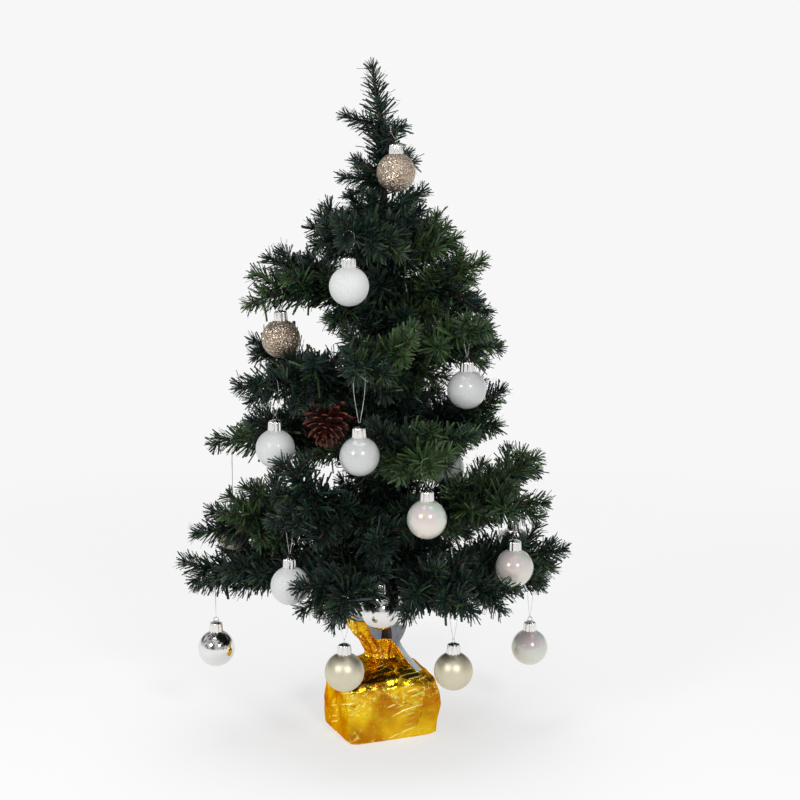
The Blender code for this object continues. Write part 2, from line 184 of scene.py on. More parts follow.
def colour_setting(name, description, default):
    return bpy.props.FloatVectorProperty(
        name=name, description=description, default=default, subtype="COLOR", size=3, min=0, max=1
    )


def length_setting(name, description, default):
    return bpy.props.FloatProperty(
        name=name, description=description, default=default, min=0.0, unit="LENGTH", precision=4
    )


class NeedleSettings(bpy.types.PropertyGroup):
    """Sizes and colours of the cut film needles"""

    length: length_setting("Length", "Length of a needle on the middle of a twig", 18 * MM)
    width: length_setting("Width", "Width of a needle's film strip", 1.9 * MM)
    thickness: length_setting("Thickness", "Thickness of a needle's folded strip", 0.35 * MM)
    spacing: length_setting("Spacing", "Wire length that each needle takes up", 0.26 * MM)
    blue_green: colour_setting("Blue-green", "Colour of the dark needles", (0.008, 0.027, 0.020))
    leaf_green: colour_setting("Leaf green", "Colour of the lighter needles", (0.052, 0.104, 0.032))
    cut_tip: colour_setting("Cut tip", "Colour of the needles' cut ends", (0.048, 0.044, 0.036))


class OrnamentSettings(bpy.types.PropertyGroup):
    """Colours of the balls, their caps and the pine cone"""

    white: colour_setting("White", "Colour of the white balls", (0.66, 0.67, 0.665))
    champagne: colour_setting("Champagne", "Colour of the satin balls", (0.71, 0.66, 0.50))
    glitter: colour_setting("Glitter", "Colour of the glitter flakes", (0.60, 0.47, 0.35))
    silver: colour_setting("Silver", "Colour of the mirror balls, caps and threads", (0.84, 0.83, 0.81))
    scale_brown: colour_setting("Scale brown", "Colour of the pine cone's scales", (0.055, 0.012, 0.007))


class FoilSettings(bpy.types.PropertyGroup):
    """Sizes and colours of the gold film round the block"""

    thickness: length_setting("Thickness", "Thickness of the film", 0.25 * MM)
    crumple: length_setting("Crumple", "Height of the largest crumples", 1.1 * MM)
    gold: colour_setting("Gold", "Colour of the film's bright side", (0.92, 0.57, 0.015))
    # This amber is painted shade for the film's folds; the film lays it in loose noise patches.
    fold_shade_amber: colour_setting("Amber", "Colour of the film in its folds", (0.52, 0.19, 0.006))
    back: colour_setting("Back", "Colour of the film's back", (0.80, 0.80, 0.81))


class StageSettings(bpy.types.PropertyGroup):
    """Floor, lights and camera"""

    backdrop: colour_setting("Backdrop", "Colour of the floor and around it", (0.93, 0.93, 0.93))
    room: colour_setting("Room", "Colour of the surroundings higher up", (0.35, 0.35, 0.36))
    lens: bpy.props.FloatProperty(name="Lens", description="Focal length in millimetres", default=78.75)
    floor_radius: length_setting("Floor radius", "Radius of the floor", 12.0)


SETTINGS = {
    "tree_needles": NeedleSettings,
    "tree_ornaments": OrnamentSettings,
    "tree_foil": FoilSettings,
    "tree_stage": StageSettings,
}


# ---------------------------------------------------------------- shader helpers


class Graph:
    """Adds nodes to one node tree and joins them."""

    def __init__(self, tree):
        self.tree = tree

    def add(self, kind, values=None, **settings):
        node = self.tree.nodes.new(kind if kind.startswith("Node") else "ShaderNode" + kind)
        for key, value in settings.items():
            setattr(node, key, value)
        for key, value in (values or {}).items():
            self.feed(node.inputs[key], value)
        return node

    def feed(self, socket, value):
        """Sets a socket to a value, or joins another node's output to it."""
        if isinstance(value, bpy.types.NodeSocket):
            self.tree.links.new(value, socket)
        elif hasattr(value, "__len__") and len(value) == 3 and socket.type == "RGBA":
            socket.default_value = (*value, 1)
        else:
            socket.default_value = value

    def maths(self, operation, a, b=0.0, clamp=False):
        node = self.add("Math", operation=operation, use_clamp=clamp)
        self.feed(node.inputs[0], a)
        self.feed(node.inputs[1], b)
        return node.outputs[0]

    def vector(self, operation, a, b=None, scale=None):
        """A vector operation. Its result is a number for a length, and otherwise a vector."""
        node = self.add("VectorMath", operation=operation)
        self.feed(node.inputs[0], a)
        if b is not None:
            self.feed(node.inputs[1], b)
        if scale is not None:
            self.feed(node.inputs["Scale"], scale)
        return node.outputs["Value" if operation == "LENGTH" else "Vector"]

    def blend(self, share, a, b, kind="MIX"):
        node = self.add("Mix", data_type="RGBA", blend_type=kind, clamp_factor=True)
        self.feed(node.inputs["Factor"], share)
        self.feed(node.inputs[6], a)
        self.feed(node.inputs[7], b)
        return node.outputs[2]

    def spread(self, value, low, high, to_low=0.0, to_high=1.0):
        """Maps a value from one range onto another, and clamps it."""
        node = self.add("MapRange")
        for socket, number in zip(node.inputs, (value, low, high, to_low, to_high)):
            self.feed(socket, number)
        return node.outputs[0]

    def ramp(self, value, stops):
        """A colour ramp through (position, colour) stops."""
        node = self.add("ValToRGB", {"Fac": value})
        elements = node.color_ramp.elements
        elements[0].position, elements[1].position = stops[0][0], stops[-1][0]
        elements[0].color, elements[1].color = (*stops[0][1], 1), (*stops[-1][1], 1)
        for position, colour in stops[1:-1]:
            elements.new(position).color = (*colour, 1)
        return node.outputs["Color"]

    def attribute(self, name):
        return self.add("Attribute", attribute_name=name).outputs["Fac"]

    def place(self):
        return self.add("TexCoord").outputs["Object"]

    def noise(self, scale, detail=3.0, coordinates=None):
        values = {"Vector": coordinates or self.place(), "Scale": scale, "Detail": detail}
        return self.add("TexNoise", values).outputs[0]

    def group(self, tree, values):
        node = self.tree.nodes.new("ShaderNodeGroup")
        node.node_tree = tree
        for key, value in values.items():
            self.feed(node.inputs[key], value)
        return node

    def bump(self, height, distance, strength=1.0):
        return self.add("Bump", {"Height": height, "Distance": distance, "Strength": strength}).outputs[0]


SOCKETS = {"colour": "NodeSocketColor", "number": "NodeSocketFloat", "vector": "NodeSocketVector"}


def shader_group(name, inputs, outputs):
    """A node group with named sockets. Gives the tree, its graph, its input node and its output node."""
    if name in bpy.data.node_groups:
        return bpy.data.node_groups[name], None, None, None
    tree = bpy.data.node_groups.new(name, "ShaderNodeTree")
    for label, (kind, default) in inputs.items():
        socket = tree.interface.new_socket(label, in_out="INPUT", socket_type=SOCKETS[kind])
        socket.default_value = default
    for label, kind in outputs.items():
        tree.interface.new_socket(label, in_out="OUTPUT", socket_type=SOCKETS[kind])
    graph = Graph(tree)
    return tree, graph, graph.add("NodeGroupInput"), graph.add("NodeGroupOutput")


def mottle_group():
    """Soft uneven colour, and the mask that makes it."""
    tree, graph, given, out = shader_group(
        "Mottle",
        {
            "Colour": ("colour", (1, 1, 1, 1)),
            "Second Colour": ("colour", (0, 0, 0, 1)),
            "Scale": ("number", 100.0),
            "Low": ("number", 0.35),
            "High": ("number", 0.65),
        },
        {"Colour": "colour", "Mask": "number"},
    )
    if graph:
        grain = graph.noise(given.outputs["Scale"])
        mask = graph.spread(grain, given.outputs["Low"], given.outputs["High"])
        graph.feed(out.inputs["Mask"], mask)
        colour = graph.blend(mask, given.outputs["Colour"], given.outputs["Second Colour"])
        graph.feed(out.inputs["Colour"], colour)
    return tree


def flake_group():
    """Small flat flakes, each tilted its own way and with its own shade."""
    tree, graph, given, out = shader_group(
        "Flakes",
        {"Scale": ("number", 1500.0), "Tilt": ("number", 0.5)},
        {"Normal": "vector", "Shade": "number"},
    )
    if graph:
        cells = graph.add("TexVoronoi", {"Vector": graph.place(), "Scale": given.outputs["Scale"]})
        tilt = graph.vector("SUBTRACT", cells.outputs["Color"], (0.5, 0.5, 0.5))
        tilt = graph.vector("SCALE", tilt, scale=given.outputs["Tilt"])
        normal = graph.add("NewGeometry").outputs["Normal"]
        normal = graph.vector("NORMALIZE", graph.vector("ADD", normal, tilt))
        graph.feed(out.inputs["Normal"], normal)
        split = graph.add("SeparateColor", {"Color": cells.outputs["Color"]})
        graph.feed(out.inputs["Shade"], split.outputs[0])
    return tree


def new_material(name, colour, roughness, metallic=0.0, **constants):
    """A material with its plain values set on the shader. Gives the material, its graph and its shader."""
    material = bpy.data.materials.new(name)
    material.use_nodes = True
    shader = material.node_tree.nodes["Principled BSDF"]
    graph = Graph(material.node_tree)
    graph.feed(shader.inputs["Base Color"], colour)
    graph.feed(shader.inputs["Roughness"], roughness)
    graph.feed(shader.inputs["Metallic"], metallic)
    for key, value in constants.items():
        graph.feed(shader.inputs[key.replace("_", " ")], value)
    return material, graph, shader


def tinted(colour, factor):
    return tuple(min(channel * factor, 1) for channel in colour)


def mottle(graph, shader, colour, second, scale):
    """Gives the shader a soft uneven colour. Returns the mask that makes it."""
    node = graph.group(mottle_group(), {"Colour": colour, "Second Colour": second, "Scale": scale})
    graph.feed(shader.inputs["Base Color"], node.outputs["Colour"])
    return node.outputs["Mask"]


def flake(graph, shader, scale, tilt):
    """Tilts the shader's surface flake by flake. Returns the shade of each flake."""
    node = graph.group(flake_group(), {"Scale": scale, "Tilt": tilt})
    graph.feed(shader.inputs["Normal"], node.outputs["Normal"])
    return node.outputs["Shade"]


# ---------------------------------------------------------------- materials


def needle_film(settings):
    """Cut film in two greens, with painted shade that darkens it towards the wire, and faded at the cut end."""
    material, graph, shader = new_material(
        "needle_film", settings.blue_green, 0.36, Specular_IOR_Level=0.34
    )
    tone, along = graph.attribute("tone"), graph.attribute("along")
    stops = (
        (0.0, tinted(settings.blue_green, 0.5)),
        (0.30, settings.blue_green),
        (0.48, tinted(settings.blue_green, 1.9)),
        (0.52, tinted(settings.leaf_green, 0.5)),
        (0.75, settings.leaf_green),
        (1.0, tinted(settings.leaf_green, 1.6)),
    )
    # Painted shade: each needle turns near-black towards the wire, where it lies deep inside the branch.
    root = graph.spread(along, 0.0, 0.35, 0.35, 1.0)
    colour = graph.blend(root, (0.002, 0.005, 0.004), graph.ramp(tone, stops))
    faded = graph.maths("MULTIPLY", graph.spread(along, 0.6, 1.0), 0.4)
    colour = graph.blend(faded, colour, settings.cut_tip)
    graph.feed(shader.inputs["Base Color"], colour)
    grain = graph.noise(900.0, 2.0)
    graph.feed(shader.inputs["Roughness"], graph.spread(grain, 0.3, 0.7, 0.28, 0.5))
    return material


def wire_tape():
    """Brown paper tape wound round twisted wire."""
    material, graph, shader = new_material("wire_tape", (0.060, 0.034, 0.026), 0.75)
    mask = mottle(graph, shader, (0.032, 0.020, 0.015), (0.13, 0.066, 0.052), 420.0)
    graph.feed(shader.inputs["Normal"], graph.bump(mask, 0.3 * MM, 0.5))
    return material


def glitter(settings):
    """Champagne glitter: flakes that each catch the light on their own."""
    material, graph, shader = new_material("champagne_glitter", settings.glitter, 0.3, 0.8)
    shade = flake(graph, shader, 1450.0, 1.25)
    colour = graph.blend(shade, tinted(settings.glitter, 0.40), tinted(settings.glitter, 1.2))
    colour = graph.blend(graph.spread(shade, 0.84, 0.9), colour, (1.0, 0.92, 0.82))
    graph.feed(shader.inputs["Base Color"], colour)
    return material


def snow(settings):
    """Matt white with a fine flocked sparkle."""
    material, graph, shader = new_material("snow_white", settings.white, 0.8, Sheen_Weight=0.25)
    shade = flake(graph, shader, 2100.0, 0.35)
    colour = graph.blend(shade, tinted(settings.white, 0.93), tinted(settings.white, 1.12))
    graph.feed(shader.inputs["Base Color"], colour)
    graph.feed(shader.inputs["Roughness"], graph.spread(shade, 0.9, 0.94, 0.82, 0.3))
    return material


def speckled_white(name, settings, shade, roughness, tilt, coat):
    """White lacquer with fine specks under it."""
    material, graph, shader = new_material(
        name, settings.white, roughness, Coat_Weight=coat, Coat_Roughness=0.06
    )
    lacquer = tinted(settings.white, shade)
    speck = flake(graph, shader, 1900.0, tilt)
    colour = graph.blend(speck, tinted(lacquer, 0.94), tinted(lacquer, 1.08))
    graph.feed(shader.inputs["Base Color"], colour)
    return material


def pearl(settings):
    """Clear-coated pearl whose hue drifts between rose, straw and ice, and whose lower half has a painted cream
    reflection of the floor.
    """
    material, graph, shader = new_material(
        "iridescent", settings.white, 0.2, 0.1, Coat_Weight=1.0, Coat_Roughness=0.04,
        Thin_Film_Thickness=420.0, Thin_Film_IOR=1.5,
    )
    facing = graph.add("LayerWeight", {"Blend": 0.35}).outputs["Facing"]
    drift = graph.noise(55.0, 1.0)
    hue = graph.maths("ADD", graph.maths("MULTIPLY", facing, 0.55), graph.maths("MULTIPLY", drift, 0.8))
    tints = (
        (0.22, (0.72, 0.64, 0.42)),
        (0.38, (0.64, 0.54, 0.56)),
        (0.50, (0.66, 0.62, 0.58)),
        (0.62, (0.54, 0.64, 0.58)),
        (0.74, (0.70, 0.64, 0.48)),
        (0.88, (0.62, 0.60, 0.62)),
    )
    # Painted reflection of the pale floor: the half that faces down is blended towards cream.
    normal = graph.add("SeparateXYZ", {"Vector": graph.add("NewGeometry").outputs["Normal"]})
    floor_reflection_share = graph.spread(normal.outputs["Z"], 0.06, -0.22)
    colour = graph.blend(graph.maths("MULTIPLY", floor_reflection_share, 0.7), graph.ramp(hue, tints), (0.70, 0.66, 0.56))
    graph.feed(shader.inputs["Base Color"], colour)
    return material


def plated(name, colour, roughness, wear=0.05):
    """Metal plating with a slight haze that comes and goes."""
    material, graph, shader = new_material(name, colour, roughness, 1.0)
    mask = mottle(graph, shader, colour, tinted(colour, 0.92), 60.0)
    haze = graph.spread(mask, 0.0, 1.0, roughness, roughness + wear)
    graph.feed(shader.inputs["Roughness"], haze)
    return material


def thread_clear(settings):
    """Clear nylon with a pale glint along it."""
    material, graph, shader = new_material(
        "thread", tinted(settings.silver, 0.6), 0.22, Coat_Weight=0.6, Coat_Roughness=0.1
    )
    mottle(graph, shader, tinted(settings.silver, 0.45), tinted(settings.silver, 0.9), 240.0)
    return material


def ball_materials(settings):
    return {
        "champagne_glitter": glitter(settings),
        "snow_white": snow(settings),
        "pearl_white": speckled_white("pearl_white", settings, 0.80, 0.32, 0.22, 0.8),
        "satin_white": speckled_white("satin_white", settings, 0.98, 0.38, 0.10, 0.15),
        "gloss_white": speckled_white("gloss_white", settings, 0.80, 0.22, 0.12, 1.0),
        "iridescent": pearl(settings),
        "chrome_silver": plated("chrome_silver", settings.silver, 0.03, 0.02),
        "satin_champagne": plated("satin_champagne", settings.champagne, 0.44, 0.06),
    }


def cone_scale(settings):
    """Reddish-brown scales, paler at the rim: partly the scales' own paler edge and partly a painted highlight
    with red glints.
    """
    material, graph, shader = new_material("cone_scale", settings.scale_brown, 0.3)
    brown = graph.group(
        mottle_group(),
        {"Colour": tinted(settings.scale_brown, 0.45), "Second Colour": settings.scale_brown, "Scale": 260.0},
    )
    # The rim colours are partly the scales' own paler edge and partly a painted highlight: orange-brown and
    # crimson glints.
    drift = graph.spread(graph.noise(130.0), 0.42, 0.58)
    rim_tone_and_glint = graph.blend(drift, (0.30, 0.075, 0.022), (0.20, 0.018, 0.020))
    rim = graph.spread(graph.attribute("along"), 0.80, 1.0, 0.0, 0.75)
    graph.feed(shader.inputs["Base Color"], graph.blend(rim, brown.outputs["Colour"], rim_tone_and_glint))
    graph.feed(shader.inputs["Normal"], graph.bump(brown.outputs["Mask"], 0.6 * MM, 0.6))
    return material


def plaster():
    """Cast plaster with air holes."""
    material, graph, shader = new_material("plaster", (0.62, 0.60, 0.56), 0.9)
    mask = mottle(graph, shader, (0.64, 0.62, 0.58), (0.48, 0.46, 0.42), 180.0)
    graph.feed(shader.inputs["Normal"], graph.bump(mask, 0.5 * MM, 0.7))
    return material


FILM_MAP = "film"


def embossed_lines(graph, place, turn, spacing, length):
    """Short parallel dashes in metres on the film, as a mask."""
    level = graph.add("Mapping", {"Vector": place, "Rotation": (0, 0, turn)}).outputs[0]
    # A wave texture's bands repeat every 2 pi / 20 of a unit at scale 1
    bands_scale = 2 * math.pi / 20 / spacing
    wave = graph.add(
        "TexWave",
        {"Vector": level, "Scale": bands_scale, "Distortion": 0.6, "Detail Scale": 40.0},
        bands_direction="Y",
    ).outputs["Fac"]
    stretched = graph.add("Mapping", {"Vector": level, "Scale": (1 / length, 1 / spacing, 1)}).outputs[0]
    dashes = graph.noise(1.0, 0.0, stretched)
    lines = graph.maths("MULTIPLY", graph.spread(wave, 0.76, 0.97), graph.spread(dashes, 0.46, 0.60))
    return graph.maths("MULTIPLY", lines, graph.spread(graph.noise(24.0, 1.0, place), 0.50, 0.60))


def cell_edges(graph, place, scale):
    """The distance to the nearest edge between Voronoi cells."""
    cells = graph.add("TexVoronoi", {"Vector": place, "Scale": scale}, feature="DISTANCE_TO_EDGE")
    return cells.outputs["Distance"]


def crease_highlight_lines(graph, place):
    """Fine bent crease lines in patches, as a mask for painted highlights along them."""
    shake = graph.add("TexNoise", {"Vector": place, "Scale": 230.0}).outputs["Color"]
    shaken = graph.vector("ADD", place, graph.vector("SCALE", shake, scale=8 * MM))
    lines = graph.spread(cell_edges(graph, shaken, 330.0), 0.10, 0.02)
    for scale, low, high in ((46.0, 0.53, 0.60), (260.0, 0.44, 0.56)):
        lines = graph.maths("MULTIPLY", lines, graph.spread(graph.noise(scale, 1.0, place), low, high))
    return lines


def gold_film(settings):
    """Gold film with embossed dashes. Painted highlights turn the dashes and the crease lines pale yellow and make
    the dashes glow faintly, with painted green glints and painted shade in amber patches.
    """
    material, graph, shader = new_material(
        "gold_film", settings.gold, 0.24, 1.0, Specular_Tint=(0.95, 0.50, 0.06, 1)
    )
    place = graph.add("UVMap", uv_map=FILM_MAP).outputs[0]
    # Painted shade: loose noise patches of deeper amber stand for the shade in the film's folds.
    drift = graph.noise(38.0, 3.0, place)
    colour = graph.blend(graph.spread(drift, 0.36, 0.66), settings.fold_shade_amber, settings.gold)
    # Painted glints: small green patches in the gold.
    glint = graph.noise(260.0, 1.0, place)
    colour = graph.blend(graph.spread(glint, 0.62, 0.72, 0.0, 0.55), colour, (0.42, 0.72, 0.04))
    dashes = embossed_lines(graph, place, math.radians(-16), 4.4 * MM, 11 * MM)
    # Painted highlight: the embossed dashes turn pale yellow.
    colour = graph.blend(dashes, colour, (1.0, 0.93, 0.35))
    # Painted highlight: the crease lines turn bright yellow.
    colour = graph.blend(crease_highlight_lines(graph, place), colour, (1.0, 0.95, 0.20))
    graph.feed(shader.inputs["Base Color"], colour)
    height = graph.spread(cell_edges(graph, place, 190.0), 0.0, 0.35)
    for relief, share in ((dashes, 0.8), (graph.noise(420.0, 2.0, place), 0.7)):
        height = graph.maths("ADD", height, graph.maths("MULTIPLY", relief, share))
    graph.feed(shader.inputs["Normal"], graph.bump(height, 0.3 * MM, 0.5))
    # Painted glow: the dashes shine a faint yellow of their own, as a painted highlight.
    graph.feed(shader.inputs["Emission Color"], graph.blend(dashes, (0.0, 0.0, 0.0), (1.0, 0.80, 0.20)))
    shader.inputs["Emission Strength"].default_value = 0.22
    return material


def silver_back(settings):
    """The film's silver back, with a faint rainbow and a faint rainbow glow that paints its reflection of the
    bright surroundings.
    """
    material, graph, shader = new_material("silver_back", settings.back, 0.4, 0.2)
    place = graph.add("UVMap", uv_map=FILM_MAP).outputs[0]
    tints = ((0.40, (0.68, 0.72, 0.86)), (0.5, (0.86, 0.82, 0.84)), (0.6, (0.62, 0.80, 0.80)))
    rainbow = graph.ramp(graph.noise(90.0, 1.0, place), tints)
    graph.feed(shader.inputs["Base Color"], graph.blend(0.45, settings.back, rainbow))
    # Painted reflection: the back glows faintly in its rainbow, as if it reflected the bright surroundings.
    graph.feed(shader.inputs["Emission Color"], rainbow)
    shader.inputs["Emission Strength"].default_value = 0.11
    graph.feed(shader.inputs["Normal"], graph.bump(graph.noise(240.0, 3.0, place), 1.5 * MM, 0.8))
    return material


# ---------------------------------------------------------------- shape helpers


class Route:
    """A smooth line through the given points, read by distance from its start."""

    def __init__(self, points, steps=12):
        self.line = [points[0]]
        self.stations = [0.0]
        before = [2 * points[0] - points[1]] + points + [2 * points[-1] - points[-2]]
        for a, b, c, d in zip(before, before[1:], before[2:], before[3:]):
            for step in range(1, steps + 1):
                point = catmull_rom(a, b, c, d, step / steps)
                self.stations.append(self.stations[-1] + (point - self.line[-1]).length)
                self.line.append(point)
        self.length = self.stations[-1]

    def at(self, distance):
        """The point at this distance from the start."""
        for i in range(1, len(self.line)):
            if distance <= self.stations[i] or i == len(self.line) - 1:
                span = self.stations[i] - self.stations[i - 1]
                share = min((distance - self.stations[i - 1]) / span, 1)
                return self.line[i - 1].lerp(self.line[i], share)

    def heading(self, distance):
        """The unit vector along the route at this distance."""
        step = 2 * MM
        return (self.at(distance + step) - self.at(max(distance - step, 0))).normalized()


def catmull_rom(a, b, c, d, t):
    """The point at t, from 0 to 1, between b and c on a smooth line through all four."""
    return 0.5 * (2 * b + (c - a) * t + (2 * a - 5 * b + 4 * c - d) * t**2
                  + (3 * b - a - 3 * c + d) * t**3)


def points_of(path):
    return [Vector(point) * MM for point in path]


def routes_of(branch):
    """The main wire's route and its twigs' routes, in that order, as in the CAD source."""
    name, root_height, path, twigs = branch
    points = points_of(path)
    root = Vector((0, 0, root_height * MM))
    if name != LEADER[0]:
        low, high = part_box("trunk")
        share = (root.z - low.z) / (high.z - low.z)
        reach = TRUNK_RADIUS + (TRUNK_TOP_RADIUS - TRUNK_RADIUS) * share + ROOT_GAP
        root += Vector((points[0].x, points[0].y, 0)).normalized() * reach
    main = Route([root] + points)
    routes = [main]
    for share, twig_path in twigs:
        start = main.at(share * main.length)
        ends = points_of(twig_path)
        reach = ends[0] - start
        ahead = main.heading(share * main.length) + 2 * reach.normalized()
        routes.append(Route([start, start + ahead.normalized() * reach.length * 0.35] + ends))
    return routes


def basis(x_axis, y_axis, z_axis, place):
    """The matrix that takes a template's axes to these ones, at this place."""
    turn = Matrix((x_axis, y_axis, z_axis)).transposed().to_4x4()
    return Matrix.Translation(place) @ turn


# Below this sine of its angle from the vertical, a direction counts as upright
NEARLY_UPRIGHT = 0.05


def across(direction):
    """Two unit vectors that are square to the direction and to each other."""
    side = direction.cross(UP)
    if side.length < NEARLY_UPRIGHT:
        side = direction.cross(Vector((1, 0, 0)))
    side.normalize()
    return side, side.cross(direction).normalized()


def turned(side, up, angle):
    """The unit vector at this angle from side towards up."""
    return side * math.cos(angle) + up * math.sin(angle)


def stamp(bm, template, matrix):
    """Adds a copy of the template mesh to the bmesh."""
    copy = template.copy()
    copy.transform(matrix)
    bm.from_mesh(copy)
    bpy.data.meshes.remove(copy)


def mesh_from(bm, name):
    """The bmesh as a new mesh. The bmesh is freed."""
    mesh = bpy.data.meshes.new(name)
    bm.to_mesh(mesh)
    bm.free()
    return mesh


def new_object(name, mesh, materials):
    for material in materials:
        mesh.materials.append(material)
    obj = bpy.data.objects.new(name, mesh)
    bpy.context.scene.collection.objects.link(obj)
    return obj


def add_piece(name, bm, body, materials, replaced=(), smooth=True):
    """Makes a bmesh a piece that rides on a body. Its place is in its mesh."""
    mesh = mesh_from(bm, name)
    if smooth:
        mesh.shade_smooth()
    obj = new_object(name, mesh, materials)
    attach(obj, body)
    if replaced:
        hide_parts(*replaced)
    return obj


def add_tube(bm, points, radii, sides=8):
    """A closed round tube along the points: rings that are bridged in turn and capped."""
    rings = []
    for i, (point, radius) in enumerate(zip(points, radii)):
        ahead = (points[min(i + 1, len(points) - 1)] - points[max(i - 1, 0)]).normalized()
        side, up = across(ahead)
        turn = basis(side, up, ahead, point)
        ends = i in (0, len(points) - 1)
        made = bmesh.ops.create_circle(bm, segments=sides, radius=radius, cap_ends=ends, matrix=turn)
        rings.append(made["verts"])
    bridge(bm, rings)


def edges_of(verts):
    """The edges that run between these vertices."""
    ring = set(verts)
    return list({edge for vert in verts for edge in vert.link_edges if edge.other_vert(vert) in ring})


def bridge(bm, rings):
    """Joins each ring of vertices to the next one with faces."""
    for low, high in zip(rings, rings[1:]):
        bmesh.ops.bridge_loops(bm, edges=edges_of(low) + edges_of(high))


def recalculate(bm):
    bmesh.ops.recalc_face_normals(bm, faces=bm.faces)


# ---------------------------------------------------------------- needles


# How far a needle's end bends to the side, and the places of its tone on the colour ramp
BENDS = (-0.8 * MM, 0.8 * MM, 2.2 * MM, 3.6 * MM)
TONES = (0.02, 0.16, 0.30, 0.45)
LEAF_TONES = (0.56, 0.68, 0.82, 0.98)
# Width of a needle's cut end as a share of its foot's, and the share of its length where it may bend
CUT_END_WIDTH = 0.92
BEND_SHARE = 0.55


def needle_template(settings, tone, bend):
    """A closed three-sided strip along +Z that bends towards +Y. It carries its tone and the way along it."""
    bm = bmesh.new()
    middle = Matrix.Translation((0, 0, settings.length / 2))
    bmesh.ops.create_cone(
        bm, cap_ends=True, segments=3, radius1=0.5, radius2=0.5 * CUT_END_WIDTH,
        depth=settings.length, matrix=middle,
    )
    bmesh.ops.bisect_plane(
        bm, geom=bm.verts[:] + bm.edges[:] + bm.faces[:],
        plane_co=(0, 0, BEND_SHARE * settings.length), plane_no=(0, 0, 1),
    )
    bmesh.ops.scale(bm, verts=bm.verts, vec=(settings.width, settings.thickness, 1))
    along = bm.verts.layers.float.new("along")
    toned = bm.verts.layers.float.new("tone")
    for vert in bm.verts:
        share = vert.co.z / settings.length
        vert[along], vert[toned] = share, tone
        vert.co.y += bend * share**2
        vert.co.z -= abs(bend) * 0.25 * share**2
    return mesh_from(bm, "needle_template")


def needle_templates(settings):
    return {
        kind: [needle_template(settings, tone, bend) for tone in tones for bend in BENDS]
        for kind, tones in (("blue", TONES), ("leaf", LEAF_TONES))
    }


BALL_GAP = 0.4 * MM
CAP_CLEARANCE = 6.5 * MM
# The cone is open at its rim, so needles may reach in past this share of its radius
CONE_CORE = 0.8
# Where along a needle or a twig its distance from the spots is tested
TESTED_SHARES = (0.35, 0.6, 0.8, 1.0)


def keep_clear():
    """Balls, caps and the cone as (centre, radius) that no needle may pass through."""
    spots = [(CONE_CENTRE, CONE_RADIUS * CONE_CORE)]
    for name in ball_names():
        centre = ball_centre(name)
        spots.append((centre, BALL_RADIUS + BALL_GAP))
        spots.append((centre + UP * (CAP_FOOT + CAP_TOP) / 2, CAP_CLEARANCE))
    return spots


def is_clear(spots, start, end):
    """Whether the outer part of a straight line misses every spot."""
    for share in TESTED_SHARES:
        point = start.lerp(end, share)
        for centre, radius in spots:
            if (point - centre).length_squared < radius * radius:
                return False
    return True


TIP_SETBACK = 1 * MM
# Needles shorten and lean forward over this last stretch of a wire
TAPER = 38 * MM
TIP_NARROWING = math.radians(14)
TUFT_SETBACK = 2 * MM
TUFT_NARROWEST = math.radians(10)
TUFT_SPREAD = math.radians(44)
# Share of the needles that are long and stick out
STRAY_SHARE = 0.025
# The leader's needles are smaller, and it has side twigs only below this height
LEADER_SCALE = 0.82
LEADER_TWIG_LIMIT = 465 * MM
SIDE_TWIG_STEP = 18 * MM
# Side twigs stand closer on the inner half of a wire, by this factor
INNER_CROWDING = 0.62
SIDE_TWIG_LENGTH = 34 * MM
SHORTEST_SIDE_TWIG = 17 * MM
# Angle between a side twig and its wire, in degrees, and how far up or down it may turn, in radians
TWIG_SWEEP = (38, 56)
TWIG_TURN = 1.25
# How widely the needles' directions scatter, in radians, and their sizes, as shares of a full needle
TURN_SCATTER = 0.3
SWEEP_SCATTER = 0.2
SIZE_SCATTER = 0.14
LARGEST_SIZE = 1.3
ROLL_SCATTER = 0.7
STRAY_SIZE = 1.35
TUFT_SIZE, TUFT_SIZE_SCATTER = 0.46, 0.06


def side_twigs(route, rng, spots):
    """Short twigs that leave a route on alternate sides, shorter towards its end."""
    twigs = []
    distance, sign = SIDE_TWIG_STEP * rng.uniform(0.5, 0.9), rng.choice((-1, 1))
    while distance < route.length - SHORTEST_SIDE_TWIG:
        start, forward = route.at(distance), route.heading(distance)
        side, up = across(forward)
        around = rng.uniform(-TWIG_TURN, TWIG_TURN)
        outward = turned(side * sign, up, around)
        reach = min(SIDE_TWIG_LENGTH * rng.uniform(0.75, 1.1), (route.length - distance) * 0.85)
        sweep = math.radians(rng.uniform(*TWIG_SWEEP))
        end = start + turned(forward, outward, sweep) * reach
        bend = start.lerp(end, 0.5) + outward * reach * 0.08
        if is_clear(spots, start, end):
            twigs.append(Route([start, bend, end], steps=6))
        inner = distance < route.length / 2
        distance += SIDE_TWIG_STEP * rng.uniform(0.8, 1.25) * (INNER_CROWDING if inner else 1.0)
        sign = -sign
    return twigs


